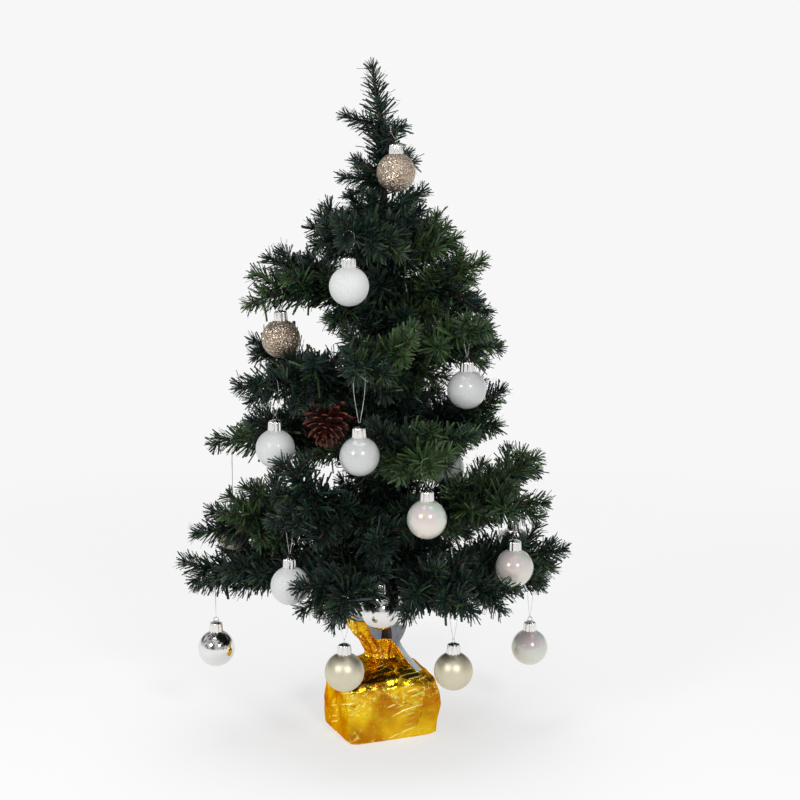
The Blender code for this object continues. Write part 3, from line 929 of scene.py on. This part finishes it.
class Brush:
    """Plants needles round wires into one bmesh."""

    def __init__(self, name, settings, templates, spots):
        self.bm = bmesh.new()
        self.rng = random.Random(f"{SEED} {name}")
        self.settings = settings
        self.templates = templates
        self.spots = spots
        self.scale = 1.0

    def needle(self, foot, forward, outward, sweep, leaf_share, size):
        """One needle that leaves the wire between outward and forward, by its sweep from forward."""
        rng = self.rng
        z_axis = turned(forward, outward, sweep)
        y_axis = forward * math.sin(sweep) - outward * math.cos(sweep)
        if not is_clear(self.spots, foot, foot + z_axis * self.settings.length * size):
            return
        kind = "leaf" if rng.random() < leaf_share else "blue"
        template = rng.choice(self.templates[kind])
        matrix = basis(y_axis.cross(z_axis), y_axis, z_axis, foot)
        matrix @= Matrix.Rotation(rng.gauss(0, ROLL_SCATTER), 4, "Z") @ Matrix.Scale(size, 4)
        stamp(self.bm, template, matrix)

    def along(self, route, start, leaf_share, spacing, tuft=12, widest=math.radians(60)):
        """Needles round a route from start to short of its end, shorter towards it, and a tuft there."""
        rng = self.rng
        stop = route.length - TIP_SETBACK
        count = max(int((stop - start) / spacing), 1)
        for i in range(count):
            distance = start + (stop - start) * (i + rng.random()) / count
            forward = route.heading(distance)
            side, up = across(forward)
            outward = turned(side, up, i * GOLDEN_ANGLE + rng.gauss(0, TURN_SCATTER))
            near_end = max(0.0, 1 - (stop - distance) / TAPER)
            sweep = widest - near_end * TIP_NARROWING + rng.gauss(0, SWEEP_SCATTER)
            size = min(rng.gauss(1.0, SIZE_SCATTER), LARGEST_SIZE) * (1 - 0.5 * near_end) * self.scale
            if rng.random() < STRAY_SHARE:
                size, sweep = size * STRAY_SIZE, sweep + rng.uniform(0.2, 0.6)
            foot = route.at(distance) + outward * WIRE_RADIUS * 0.5
            self.needle(foot, forward, outward, sweep, leaf_share, size)
        end, forward = route.at(stop), route.heading(stop)
        side, up = across(forward)
        for i in range(tuft):
            outward = turned(side, up, i * GOLDEN_ANGLE)
            sweep = TUFT_NARROWEST + TUFT_SPREAD * math.sqrt(i / tuft)
            size = rng.gauss(TUFT_SIZE, TUFT_SIZE_SCATTER)
            self.needle(end - forward * TUFT_SETBACK, forward, outward, sweep, leaf_share, size)


WIRE_STEP = 9 * MM
WIRE_SETBACK = 2 * MM


def add_wire(bm, route):
    """The taped wire along a route, thinner towards its end."""
    count = max(int(route.length / WIRE_STEP), 3)
    stations = [(route.length - WIRE_SETBACK) * step / count for step in range(count + 1)]
    radii = [WIRE_RADIUS * (1.25 - 0.5 * station / route.length) for station in stations]
    add_tube(bm, [route.at(station) for station in stations], radii, sides=6)


def make_branch(branch, settings, templates, spots, film, tape):
    """The needles and the taped wires of one branch, which stand for its CAD solid."""
    name = branch[0]
    routes = routes_of(branch)
    shares = LEAF_SHARES.get(name, (PLAIN_LEAF_SHARE,) * len(routes))
    brush = Brush(name, settings, templates, spots)
    leader = name == LEADER[0]
    if leader:
        brush.scale = LEADER_SCALE
    wires = bmesh.new()
    for i, (route, share) in enumerate(zip(routes, shares)):
        bare_root = BARE_WIRE if i == 0 else 0.0
        sides = side_twigs(route, brush.rng, spots)
        if leader:
            sides = [side for side in sides if side.line[0].z < LEADER_TWIG_LIMIT]
        for wire, bare in ((route, bare_root), *((side, 0.0) for side in sides)):
            brush.along(wire, bare, share, settings.spacing)
            add_wire(wires, wire)
    recalculate(wires)
    add_piece(name + "_needles", brush.bm, name, [film], [name], smooth=False)
    add_piece(name + "_wires", wires, name, [tape], [name])


# ---------------------------------------------------------------- baubles


def ball_names():
    return sorted(name[: -len("_shell")] for name in frame["nodes"] if name.endswith("_shell"))


def ball_centre(name):
    low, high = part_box(name + "_shell")
    return Vector(((low.x + high.x) / 2, (low.y + high.y) / 2, low.z + BALL_RADIUS))


def swing_of(name):
    """The joint that a bauble swings on: its point and its axis."""
    joint = next(joint for joint in frame["joints"] if joint["child"] == name)
    return Vector(joint["pos_m"]), Vector(joint["axis"])


# Roughness of the glittered and flocked surfaces, as the height of their bumps
BUMP_HEIGHTS = {"champagne_glitter": 0.22 * MM, "snow_white": 0.12 * MM}


def make_ball(name, material):
    """A blown ball. The glittered and flocked ones have a rough surface of fine facets."""
    finish = FINISH_OF[name + "_shell"]
    centre = ball_centre(name)
    bm = bmesh.new()
    if finish in BUMP_HEIGHTS:
        bmesh.ops.create_icosphere(bm, subdivisions=6, radius=BALL_RADIUS - 0.1 * MM)
        for vert in bm.verts:
            vert.co *= 1 + BUMP_HEIGHTS[finish] / BALL_RADIUS * noise.noise(vert.co * 2600)
    else:
        bmesh.ops.create_uvsphere(bm, u_segments=56, v_segments=36, radius=BALL_RADIUS)
    bmesh.ops.translate(bm, verts=bm.verts, vec=centre)
    add_piece(name + "_ball", bm, name, [material], [name + "_shell"])


CAP_RIBS = 10
# A cap from its foot to the eyelet's base: height, radius and how far the ribs stand out, in millimetres
CAP_PROFILE = (
    (CAP_FOOT / MM - 0.2, 5.0, 0.55), (CAP_FOOT / MM + 0.5, 5.0, 0.55), (CAP_TOP / MM - 1.4, 4.7, 0.50),
    (CAP_TOP / MM - 0.5, 4.6, 0.20), (CAP_TOP / MM, 4.1, 0.0), (CAP_TOP / MM + 0.15, 2.4, 0.0),
    (CAP_TOP / MM + 0.75, 1.9, 0.0),
)


def cap_ring(bm, height, radius, rib):
    """A ring of the cap's skirt."""
    made = bmesh.ops.create_circle(bm, segments=6 * CAP_RIBS, radius=radius)
    for vert in made["verts"]:
        vert.co *= 1 + rib / radius * math.cos(CAP_RIBS * math.atan2(vert.co.y, vert.co.x))
        vert.co.z = height
    return made["verts"]


def cap_template():
    """A crown cap with a ribbed skirt, a stepped top and an eyelet, centred under the eyelet."""
    bm = bmesh.new()
    rings = [cap_ring(bm, height * MM, radius * MM, rib * MM) for height, radius, rib in CAP_PROFILE]
    bridge(bm, rings)
    for end in (rings[-1], rings[0]):
        bmesh.ops.contextual_create(bm, geom=edges_of(end))
    wire = bmesh.ops.create_circle(
        bm, segments=8, radius=EYE_WIRE_RADIUS,
        matrix=Matrix.Translation((EYE_RADIUS, 0, 0)) @ Matrix.Rotation(math.pi / 2, 4, "X"),
    )
    bmesh.ops.spin(
        bm, geom=edges_of(wire["verts"]), cent=(0, 0, 0), axis=(0, 1, 0), angle=2 * math.pi,
        steps=20, use_merge=True, use_duplicate=False,
    )
    loop = {vert for vert in bm.verts if vert.co.z < CAP_FOOT / 2}
    bmesh.ops.translate(bm, verts=list(loop), vec=(0, 0, EYE_HEIGHT - 0.2 * MM))
    recalculate(bm)
    return mesh_from(bm, "cap_template")


def make_cap(name, template, material):
    _, axis = swing_of(name)
    bm = bmesh.new()
    turn = Matrix.Rotation(math.atan2(axis.y, axis.x), 4, "Z")
    stamp(bm, template, Matrix.Translation(ball_centre(name)) @ turn)
    add_piece(name + "_cap", bm, name, [material], [name + "_hanger"])


def make_thread(name, material):
    """The clear thread loop: from the eyelet up one side, over the twig and down the other."""
    hang, axis = swing_of(name)
    rng = random.Random(f"{SEED} {name} thread")
    side = UP.cross(Vector((axis.x, axis.y, 0)).normalized())
    eye = ball_centre(name) + UP * (EYE_HEIGHT + 1.2 * MM)
    bow = rng.uniform(0.6, 1.6) * MM
    legs = []
    for sign in (-1, 1):
        shoulder = hang + side * sign * ARCH_RADIUS
        low = eye + side * sign * HALF_EYE_GAP
        middle = low.lerp(shoulder, 0.55) + side * sign * bow - axis * sign * bow * 0.5
        legs.append([low, middle, shoulder])
    crown = [
        hang + (side * -0.7 + UP * 0.72) * ARCH_RADIUS,
        hang + UP * ARCH_RADIUS,
        hang + (side * 0.7 + UP * 0.72) * ARCH_RADIUS,
    ]
    route = Route(legs[0] + crown + legs[1][::-1], steps=4)
    curve = bpy.data.curves.new(name + "_thread", "CURVE")
    curve.dimensions = "3D"
    curve.bevel_depth = THREAD_DIAMETER / 2
    curve.bevel_resolution = 1
    curve.use_fill_caps = True
    spline = curve.splines.new("POLY")
    spline.points.add(len(route.line) - 1)
    for target, point in zip(spline.points, route.line):
        target.co = (*point, 1)
    obj = new_object(name + "_thread", curve, [material])
    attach(obj, name)
    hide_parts(name + "_hanger")


# ---------------------------------------------------------------- foil


BLOCK_TURN = math.radians(22.5)
BODY_CENTRE, NECK_CENTRE, COLLAR_CENTRE = (-5.5, -2.0), (-5.0, 1.0), (-9.0, 0.0)
# Film from the middle of the underside to the lip: height, half width, half depth, squareness, centre,
# depth of the pleats, and height of the crumples as a share of the largest
FOIL_ROWS = (
    (0.35, 0.4, 0.4, 2.0, BODY_CENTRE, 0.00, 0.0),
    (0.35, 36.0, 29.5, 12.0, BODY_CENTRE, 0.00, 0.0),
    (2.60, 38.6, 32.1, 12.0, BODY_CENTRE, 0.00, 0.2),
    (24.0, 39.2, 32.7, 10.0, BODY_CENTRE, 0.00, 0.6),
    (45.0, 38.0, 31.5, 7.0, BODY_CENTRE, 0.01, 0.9),
    (51.5, 34.0, 28.0, 5.0, BODY_CENTRE, 0.02, 1.0),
    (56.0, 26.0, 22.5, 3.5, (-5.5, 0.0), 0.05, 1.0),
    (60.0, 17.5, 16.5, 2.4, NECK_CENTRE, 0.09, 1.0),
    (62.5, 13.2, 12.6, 2.1, NECK_CENTRE, 0.12, 0.9),
    (66.0, 12.0, 11.6, 2.0, NECK_CENTRE, 0.13, 0.6),
    (73.0, 14.5, 14.0, 2.0, (-6.0, 1.0), 0.11, 0.8),
    (84.0, 22.0, 18.5, 2.0, COLLAR_CENTRE, 0.09, 1.0),
    (93.0, 27.0, 21.0, 2.0, COLLAR_CENTRE, 0.10, 0.9),
)
NECK_ROW = 9
# How far the film reaches past the neck, by the way it faces in degrees, as a share of the furthest
LIP_REACHES = (
    (-90, 0.54), (-50, 0.60), (-38, 0.40), (-22, 1.0), (-6, 0.40), (10, 0.95), (100, 0.85),
    (150, 0.90), (188, 1.0), (258, 1.0), (265, 0.56), (270, 0.54),
)
# Bulges in the film's sides: facing in degrees, half width, middle height, half height, size
BULGES = ((-10, 22, 30, 16, 5.0), (-80, 30, 30, 14, 1.6), (110, 30, 28, 16, 2.5), (190, 22, 22, 14, 1.5))
# How many degrees a pleat's edge shifts for each millimetre of height
PLEAT_LEAN = 0.25
# Pleats: facing of the edge in degrees, width before the edge, depth
PLEATS = ((-38, 20, 4.2), (-128, 16, 1.8), (-66, 14, 1.2), (30, 24, 2.2), (80, 20, 2.0), (150, 26, 2.4))
FILM_COLUMNS = 176
# All in millimetres: the grid's step along the film, the film's least height, and the lip's rise
FILM_STEP = 1.3
FILM_FLOOR = 0.3
LIP_RISE = 9.0
LIP_TOP_ANGLE = math.radians(188)
# The flap, a strip of the collar that is folded down over the shoulder
FLAP_ANGLE = math.radians(-22)
FLAP_HALF_WIDTH = math.radians(17)
FLAP_INNER_REACH, FLAP_LENGTH = 11, 31
FLAP_HEIGHT, FLAP_ARCH, FLAP_DROP = 62, 1.5, 14


def foil_stations():
    """How far along the film each of the rows lies, in millimetres."""
    lengths = [0.0]
    for a, b in zip(FOIL_ROWS, FOIL_ROWS[1:]):
        lengths.append(lengths[-1] + math.hypot(b[0] - a[0], b[1] - a[1]))
    return lengths


def foil_row(distance, stations):
    """The row's values at a distance along the film, between the two nearest rows."""
    i = max(k for k in range(len(stations) - 1) if stations[k] <= distance + 1e-6)
    share = (distance - stations[i]) / (stations[i + 1] - stations[i])
    a, b = FOIL_ROWS[i], FOIL_ROWS[i + 1]
    flat_a, flat_b = [*a[:4], *a[4], *a[5:]], [*b[:4], *b[4], *b[5:]]
    return [x + (y - x) * share for x, y in zip(flat_a, flat_b)]


def smooth_step(value):
    value = min(max(value, 0.0), 1.0)
    return value * value * (3 - 2 * value)


def angle_between(a, b):
    return (a - b + math.pi) % (2 * math.pi) - math.pi


def fold_offset(facing, height):
    """Outward shift of the film's sides: loose bulges, and pleats that rise slowly and drop at their edge."""
    outward = Vector((math.cos(facing), math.sin(facing), 0))
    shift = 0.0
    for centre, width, middle, tall, size in BULGES:
        near = angle_between(facing, math.radians(centre)) / math.radians(width)
        shift += size * math.exp(-near**2 - ((height - middle) / tall) ** 2)
    on_sides = smooth_step(height / 25) * smooth_step((62 - height) / 8)
    for edge, width, depth in PLEATS:
        edge_here = math.radians(edge + (height - 30) * PLEAT_LEAN)
        behind = angle_between(edge_here, facing) / math.radians(width)
        if 0 <= behind < 1:
            shift += depth * (1 - behind) ** 1.5 * on_sides
    return outward * shift


def lip_reach(facing):
    """How far the film reaches past the neck on the side that faces this way."""
    degrees = (math.degrees(facing) + 90) % 360 - 90
    for (low, near), (high, far) in zip(LIP_REACHES, LIP_REACHES[1:]):
        if low <= degrees <= high:
            return near + (far - near) * smooth_step((degrees - low) / (high - low))


def flap_spot(facing, beyond):
    """Where the flap lies, this share of its length beyond the neck."""
    out = FLAP_INNER_REACH + FLAP_LENGTH * beyond
    height = FLAP_HEIGHT + FLAP_ARCH * math.sin(math.pi * min(beyond * 1.6, 1)) - FLAP_DROP * beyond**1.5
    return Vector((NECK_CENTRE[0] + out * math.cos(facing), NECK_CENTRE[1] + out * math.sin(facing), height))


def foil_point(angle, distance, stations):
    """A point of the film in millimetres, and how much it may crumple."""
    facing = angle + BLOCK_TURN
    neck = stations[NECK_ROW]
    if distance > neck:
        distance = neck + (distance - neck) * lip_reach(facing)
    height, wide, deep, squareness, x, y, pleats, crumple = foil_row(distance, stations)
    cos, sin = math.cos(angle), math.sin(angle)
    grow = (abs(cos) ** squareness + abs(sin) ** squareness) ** (-1 / squareness)
    drift = 1.6 * noise.noise(Vector((cos, sin, height / 40)))
    grow *= 1 + pleats * (0.6 * math.cos(13 * angle + drift) + 0.4 * math.cos(8 * angle + 2 - drift))
    spot = Vector((wide * cos * grow, deep * sin * grow, 0))
    spot.rotate(Matrix.Rotation(BLOCK_TURN, 3, "Z"))
    spot += Vector((x, y, height))
    spot += fold_offset(facing, height)
    beyond = (distance - neck) / (stations[-1] - neck)
    if beyond > 0:
        spot.z += LIP_RISE * beyond**1.5 * math.cos(facing - LIP_TOP_ANGLE)
        apart = abs(angle_between(facing, FLAP_ANGLE))
        fold = smooth_step(2.0 * (1 - apart / FLAP_HALF_WIDTH))
        spot = spot.lerp(flap_spot(facing, beyond), fold * smooth_step(beyond * 3))
    return spot, crumple


def crumples(spot):
    """Height of the crumples at a point, from about -1 to 1: flat facets between sharp creases."""
    near = noise.voronoi(spot / 11.0)[0]
    fine = noise.voronoi(spot / 4.6 + Vector((7, 3, 1)))[0]
    facets = min(near[1] - near[0], 0.45) * 1.6 + min(fine[1] - fine[0], 0.4) * 0.6 - 0.55
    return facets + 0.8 * noise.noise(spot / 17) + 0.18 * noise.noise(spot / 3)


def make_foil(settings):
    """The film: a grid rolled into a cup, pleated into a neck, flared again and crumpled."""
    stations = foil_stations()
    length = stations[-1]
    rows = round(length / FILM_STEP)
    bm = bmesh.new()
    bm.loops.layers.uv.new(FILM_MAP)
    bmesh.ops.create_grid(bm, x_segments=FILM_COLUMNS, y_segments=rows, size=1, calc_uvs=True)
    share_of = {}
    for vert in bm.verts:
        angle, distance = math.pi * (vert.co.x + 1), length * (vert.co.y + 1) / 2
        spot, share_of[vert] = foil_point(angle, distance, stations)
        vert.co = spot * MM
    bmesh.ops.remove_doubles(bm, verts=bm.verts, dist=0.01 * MM)
    bm.normal_update()
    moves = {}
    for vert in bm.verts:
        share = share_of.get(vert, 0.0)
        moves[vert] = vert.normal * (share * settings.crumple * crumples(vert.co / MM))
    for vert, move in moves.items():
        vert.co += move
        vert.co.z = max(vert.co.z, FILM_FLOOR * MM)
    layer = bm.loops.layers.uv[FILM_MAP]
    _, half_width, half_depth, *_ = FOIL_ROWS[3]
    around = 4 * (half_width + half_depth) * MM
    for face in bm.faces:
        for loop in face.loops:
            loop[layer].uv = (loop[layer].uv.x * around, loop[layer].uv.y * length * MM)
    film = add_piece(
        "foil_film", bm, "stand", [gold_film(settings), silver_back(settings)], ["foil_wrap"]
    )
    wall = film.modifiers.new("film", "SOLIDIFY")
    wall.thickness = settings.thickness
    wall.offset = -1
    wall.material_offset = 1


# ---------------------------------------------------------------- pine cone and trunk


def scale_template():
    """One woody scale along +X: narrow at the axis, round and turned up at its end."""
    bm = bmesh.new()
    bmesh.ops.create_grid(bm, x_segments=4, y_segments=4, size=0.5)
    along = bm.verts.layers.float.new("along")
    for vert in bm.verts:
        share, side = vert.co.x + 0.5, vert.co.y * 2
        width = 0.05 + 0.15 * math.sin(min(share * 1.4, 1.0) * math.pi / 2) * (1 - 0.45 * share**4)
        rounding = side * side * share
        vert.co = Vector((share - 0.20 * rounding, side * width, 0.20 * share**2 - 0.07 * rounding))
        vert[along] = share
    bmesh.ops.solidify(bm, geom=bm.faces[:], thickness=0.055)
    recalculate(bm)
    return mesh_from(bm, "scale_template")


def add_scales(bm, rng, side, up):
    """Scales in a spiral round the cone's axis, wide open at the stem and closed at the tip."""
    template = scale_template()
    for i in range(CONE_SCALES):
        share = i / (CONE_SCALES - 1)
        height = (-CONE_BASE + 0.74 * share) * CONE_LENGTH
        lean = math.radians(-14 + 76 * share**1.3) + rng.gauss(0, 0.10)
        wide = 0.36 + 0.64 * math.cos(math.pi / 2 * share**1.2)
        reach = wide * LONGEST_SCALE * rng.uniform(0.9, 1.06)
        outward = turned(side, up, i * GOLDEN_ANGLE)
        x_axis = turned(outward, CONE_AXIS, lean)
        z_axis = CONE_AXIS * math.cos(lean) - outward * math.sin(lean)
        foot = CONE_CENTRE + CONE_AXIS * height + outward * (2.4 - 1.6 * share) * MM
        stamp(bm, template, basis(x_axis, z_axis.cross(x_axis), z_axis, foot) @ Matrix.Scale(reach, 4))
    bpy.data.meshes.remove(template)


def make_cone(settings):
    """The cone's core, its scales and its wire stem."""
    bm = bmesh.new()
    # The stamped scales bring their values for this layer
    bm.verts.layers.float.new("along")
    side, up = across(CONE_AXIS)
    turn = basis(side, up, CONE_AXIS, CONE_CENTRE)
    stretch = Matrix.Diagonal((0.20 * CONE_RADIUS, 0.20 * CONE_RADIUS, CONE_BASE * CONE_LENGTH, 1))
    bmesh.ops.create_uvsphere(bm, u_segments=16, v_segments=10, radius=1.0, matrix=turn @ stretch)
    add_scales(bm, random.Random(f"{SEED} cone"), side, up)
    wire_top = points_of(next(branch[2] for branch in BRANCHES if branch[0] == CONE_BRANCH))[0]
    base = CONE_CENTRE - CONE_AXIS * CONE_LENGTH * CONE_BASE
    stem = Route([base, base.lerp(wire_top, 0.5) + Vector((0, 3 * MM, 0)), wire_top]).line[::4]
    add_tube(bm, stem, [STEM_RADIUS] * len(stem), sides=6)
    add_piece("pine_cone_scales", bm, CONE_BRANCH, [cone_scale(settings)], ["pine_cone"])


TRUNK_WIRES = 4
TRUNK_SIDES = 6 * TRUNK_WIRES
TRUNK_RINGS = 150
# The whole turn of the trunk's wires round each other, in radians
TRUNK_TWIST = 30
LOBE_DEPTH = 0.12
GARLAND_FOOT = 112 * MM
INNER_TWIGS = 64
# Reach of the inner twigs at the garland's foot, and how much less it is at its top
INNER_REACH, INNER_REACH_LOSS = 58, 18


def make_trunk(tape, foot, top):
    """Thick wires twisted together under tape."""
    bm = bmesh.new()
    rings = []
    for step in range(TRUNK_RINGS + 1):
        share = step / TRUNK_RINGS
        radius = TRUNK_RADIUS + (TRUNK_TOP_RADIUS - TRUNK_RADIUS) * share
        centre = foot.lerp(top, share)
        place = Matrix.Translation(centre) @ Matrix.Rotation(share * TRUNK_TWIST, 4, "Z")
        made = bmesh.ops.create_circle(
            bm, segments=TRUNK_SIDES, radius=radius, cap_ends=step in (0, TRUNK_RINGS), matrix=place
        )
        for i, vert in enumerate(made["verts"]):
            around = i / TRUNK_SIDES * 2 * math.pi
            lobe = 1 - LOBE_DEPTH + LOBE_DEPTH * math.cos(around * TRUNK_WIRES)
            vert.co = centre + (vert.co - centre) * lobe
        rings.append(made["verts"])
    bridge(bm, rings)
    recalculate(bm)
    add_piece("trunk_twist", bm, "stand", [tape], ["trunk"])


def make_garland(needles, templates, spots, film, top):
    """Needles up the trunk and on short inner twigs, which fill the middle of the crown."""
    brush = Brush("trunk", needles, templates, spots)
    start = Vector((0, 0, GARLAND_FOOT))
    route = Route([start, start.lerp(top, 0.5), top])
    brush.along(route, 0.0, PLAIN_LEAF_SHARE, needles.spacing * 0.8, tuft=0, widest=math.radians(62))
    for i in range(INNER_TWIGS):
        share = (i + 0.5) / INNER_TWIGS
        spot, around = route.at(route.length * share), i * GOLDEN_ANGLE
        lift = math.radians(brush.rng.uniform(18, 50))
        reach = (INNER_REACH - INNER_REACH_LOSS * share) * brush.rng.uniform(0.8, 1.15) * MM
        outward = Vector((math.cos(around), math.sin(around), 0))
        end = spot + turned(outward, UP, lift) * reach
        if is_clear(spots, spot, end):
            twig = Route([spot, spot.lerp(end, 0.5) - UP * 2 * MM, end], steps=6)
            brush.along(twig, 3 * MM, PLAIN_LEAF_SHARE, needles.spacing)
    add_piece("trunk_needles", brush.bm, "stand", [film], smooth=False)


# ---------------------------------------------------------------- stage


CAMERA_PLACE = (0.011, -1.379, 0.518)
CAMERA_TILT = math.radians(80)
SENSOR_WIDTH = 36
LIGHT_AIM = Vector((0, 0, 0.25))
# Place, radius and power
SOFTBOXES = (
    ((-1.05, -1.35, 1.05), 0.20, 8.5),
    ((0.62, -1.55, 1.05), 0.15, 9),
    ((0.0, 0.1, 1.9), 0.8, 14),
)
# Share of the floor's paleness near the tree that doesn't depend on the lights, so that shadows stay faint
FLOOR_GLOW = 0.615


def make_stage(settings):
    """Pale floor, softboxes, pale surroundings and the camera."""
    scene = bpy.context.scene
    camera = bpy.data.objects.new("camera", bpy.data.cameras.new("camera"))
    camera.data.lens = settings.lens
    camera.data.sensor_width = SENSOR_WIDTH
    camera.location = CAMERA_PLACE
    camera.rotation_euler = (CAMERA_TILT, 0, 0)
    scene.collection.objects.link(camera)
    scene.camera = camera
    for number, (place, radius, power) in enumerate(SOFTBOXES, 1):
        light = bpy.data.lights.new(f"softbox_{number}", "AREA")
        light.shape = "DISK"
        light.size = 2 * radius
        light.energy = power
        lamp = bpy.data.objects.new(f"softbox_{number}", light)
        lamp.location = place
        lamp.rotation_euler = (LIGHT_AIM - lamp.location).to_track_quat("-Z", "Y").to_euler()
        scene.collection.objects.link(lamp)
    bm = bmesh.new()
    bmesh.ops.create_circle(bm, cap_ends=True, segments=96, radius=settings.floor_radius)
    new_object("floor", mesh_from(bm, "floor"), [floor_material(settings)])
    scene.world = studio_world(settings)
    scene.view_settings.view_transform = "Standard"


def floor_material(settings):
    """Takes faint shadows near the tree, and glows as pale as the surroundings further away."""
    near = tinted(settings.backdrop, 0.45)
    material, graph, shader = new_material("floor", near, 0.9, Specular_IOR_Level=0.0, Emission_Strength=1.0)
    away = graph.spread(graph.vector("LENGTH", graph.place()), 0.25, 1.1)
    graph.feed(shader.inputs["Base Color"], graph.blend(away, near, (0.0, 0.0, 0.0)))
    glow = graph.blend(away, tinted(settings.backdrop, FLOOR_GLOW), settings.backdrop)
    graph.feed(shader.inputs["Emission Color"], glow)
    return material


def studio_world(settings):
    """Pale at the horizon and grey higher up, for the reflections; plain and pale behind the object."""
    world = bpy.data.worlds.new("studio")
    world.use_nodes = True
    graph = Graph(world.node_tree)
    background = world.node_tree.nodes["Background"]
    direction = graph.add("TexCoord").outputs["Generated"]
    height = graph.add("SeparateXYZ", {"Vector": direction}).outputs["Z"]
    high = graph.spread(height, 0.02, 0.14)
    patches = graph.spread(graph.noise(2.4, 1.0, direction), 0.4, 0.62)
    room = graph.blend(patches, tinted(settings.room, 0.25), tinted(settings.room, 1.9))
    colour = graph.blend(high, settings.backdrop, room)
    seen = graph.add("LightPath").outputs["Is Camera Ray"]
    graph.feed(background.inputs["Color"], graph.blend(seen, colour, settings.backdrop))
    return world


# ---------------------------------------------------------------- operators and panel


class TREE_OT_stage(bpy.types.Operator):
    """Add the floor, the lights and the camera"""

    bl_idname = "tree.stage"
    bl_label = "Stage"

    def execute(self, context):
        make_stage(context.scene.tree_stage)
        return {"FINISHED"}


class TREE_OT_threads(bpy.types.Operator):
    """Hang a clear thread loop from each bauble's twig"""

    bl_idname = "tree.threads"
    bl_label = "Thread Loops"

    def execute(self, context):
        material = thread_clear(context.scene.tree_ornaments)
        for name in ball_names():
            make_thread(name, material)
        return {"FINISHED"}


class TREE_OT_foil(bpy.types.Operator):
    """Wrap the block in crumpled gold film"""

    bl_idname = "tree.foil"
    bl_label = "Foil and Block"

    def execute(self, context):
        make_foil(context.scene.tree_foil)
        block = frame["nodes"]["base_block"].data
        block.materials.clear()
        block.materials.append(plaster())
        return {"FINISHED"}


class TREE_OT_branches(bpy.types.Operator):
    """Twist the trunk, the leader and the branches, and plant their needles"""

    bl_idname = "tree.branches"
    bl_label = "Trunk and Branches"

    def execute(self, context):
        settings = context.scene.tree_needles
        templates = needle_templates(settings)
        spots = keep_clear()
        film, tape = needle_film(settings), wire_tape()
        low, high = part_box("trunk")
        top = Vector((0, 0, high.z))
        make_trunk(tape, Vector((0, 0, low.z)), top)
        make_garland(settings, templates, spots, film, top)
        for branch in (LEADER, *BRANCHES):
            make_branch(branch, settings, templates, spots, film, tape)
        for kind in templates.values():
            for template in kind:
                bpy.data.meshes.remove(template)
        return {"FINISHED"}


class TREE_OT_balls(bpy.types.Operator):
    """Blow the balls and finish each in its own way"""

    bl_idname = "tree.balls"
    bl_label = "Balls"

    def execute(self, context):
        materials = ball_materials(context.scene.tree_ornaments)
        for name in ball_names():
            make_ball(name, materials[FINISH_OF[name + "_shell"]])
        return {"FINISHED"}


class TREE_OT_caps(bpy.types.Operator):
    """Put a ribbed silver cap with an eyelet on each ball"""

    bl_idname = "tree.caps"
    bl_label = "Caps"

    def execute(self, context):
        material = plated("silver_cap", context.scene.tree_ornaments.silver, 0.14)
        template = cap_template()
        for name in ball_names():
            make_cap(name, template, material)
        bpy.data.meshes.remove(template)
        return {"FINISHED"}


class TREE_OT_cone(bpy.types.Operator):
    """Wire the pine cone under its branch"""

    bl_idname = "tree.cone"
    bl_label = "Pine Cone"

    def execute(self, context):
        make_cone(context.scene.tree_ornaments)
        return {"FINISHED"}


OPERATORS = (
    TREE_OT_stage,
    TREE_OT_threads,
    TREE_OT_foil,
    TREE_OT_branches,
    TREE_OT_balls,
    TREE_OT_caps,
    TREE_OT_cone,
)


class TREE_PT_panel(bpy.types.Panel):
    """The tree's steps and settings"""

    bl_label = "Tabletop Tree"
    bl_idname = "TREE_PT_panel"
    bl_space_type = "VIEW_3D"
    bl_region_type = "UI"
    bl_category = "Tree"

    def draw(self, context):
        for operator in OPERATORS:
            self.layout.operator(operator.bl_idname)
        for name in SETTINGS:
            settings = getattr(context.scene, name)
            column = self.layout.column()
            for key in settings.bl_rna.properties.keys():
                if key not in ("rna_type", "name"):
                    column.prop(settings, key)


def register():
    for group in (*SETTINGS.values(), *OPERATORS, TREE_PT_panel):
        bpy.utils.register_class(group)
    for name, group in SETTINGS.items():
        setattr(bpy.types.Scene, name, bpy.props.PointerProperty(type=group))


def unregister():
    for name in SETTINGS:
        delattr(bpy.types.Scene, name)
    for group in (TREE_PT_panel, *reversed(OPERATORS), *SETTINGS.values()):
        bpy.utils.unregister_class(group)


def write_sizes():
    """Brings the scene's transforms up to date."""
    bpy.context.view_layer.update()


def main():
    register()
    for operator in OPERATORS:
        group, step = operator.bl_idname.split(".")
        getattr(getattr(bpy.ops, group), step)()
    write_sizes()


if __name__ == "__main__":
    main()
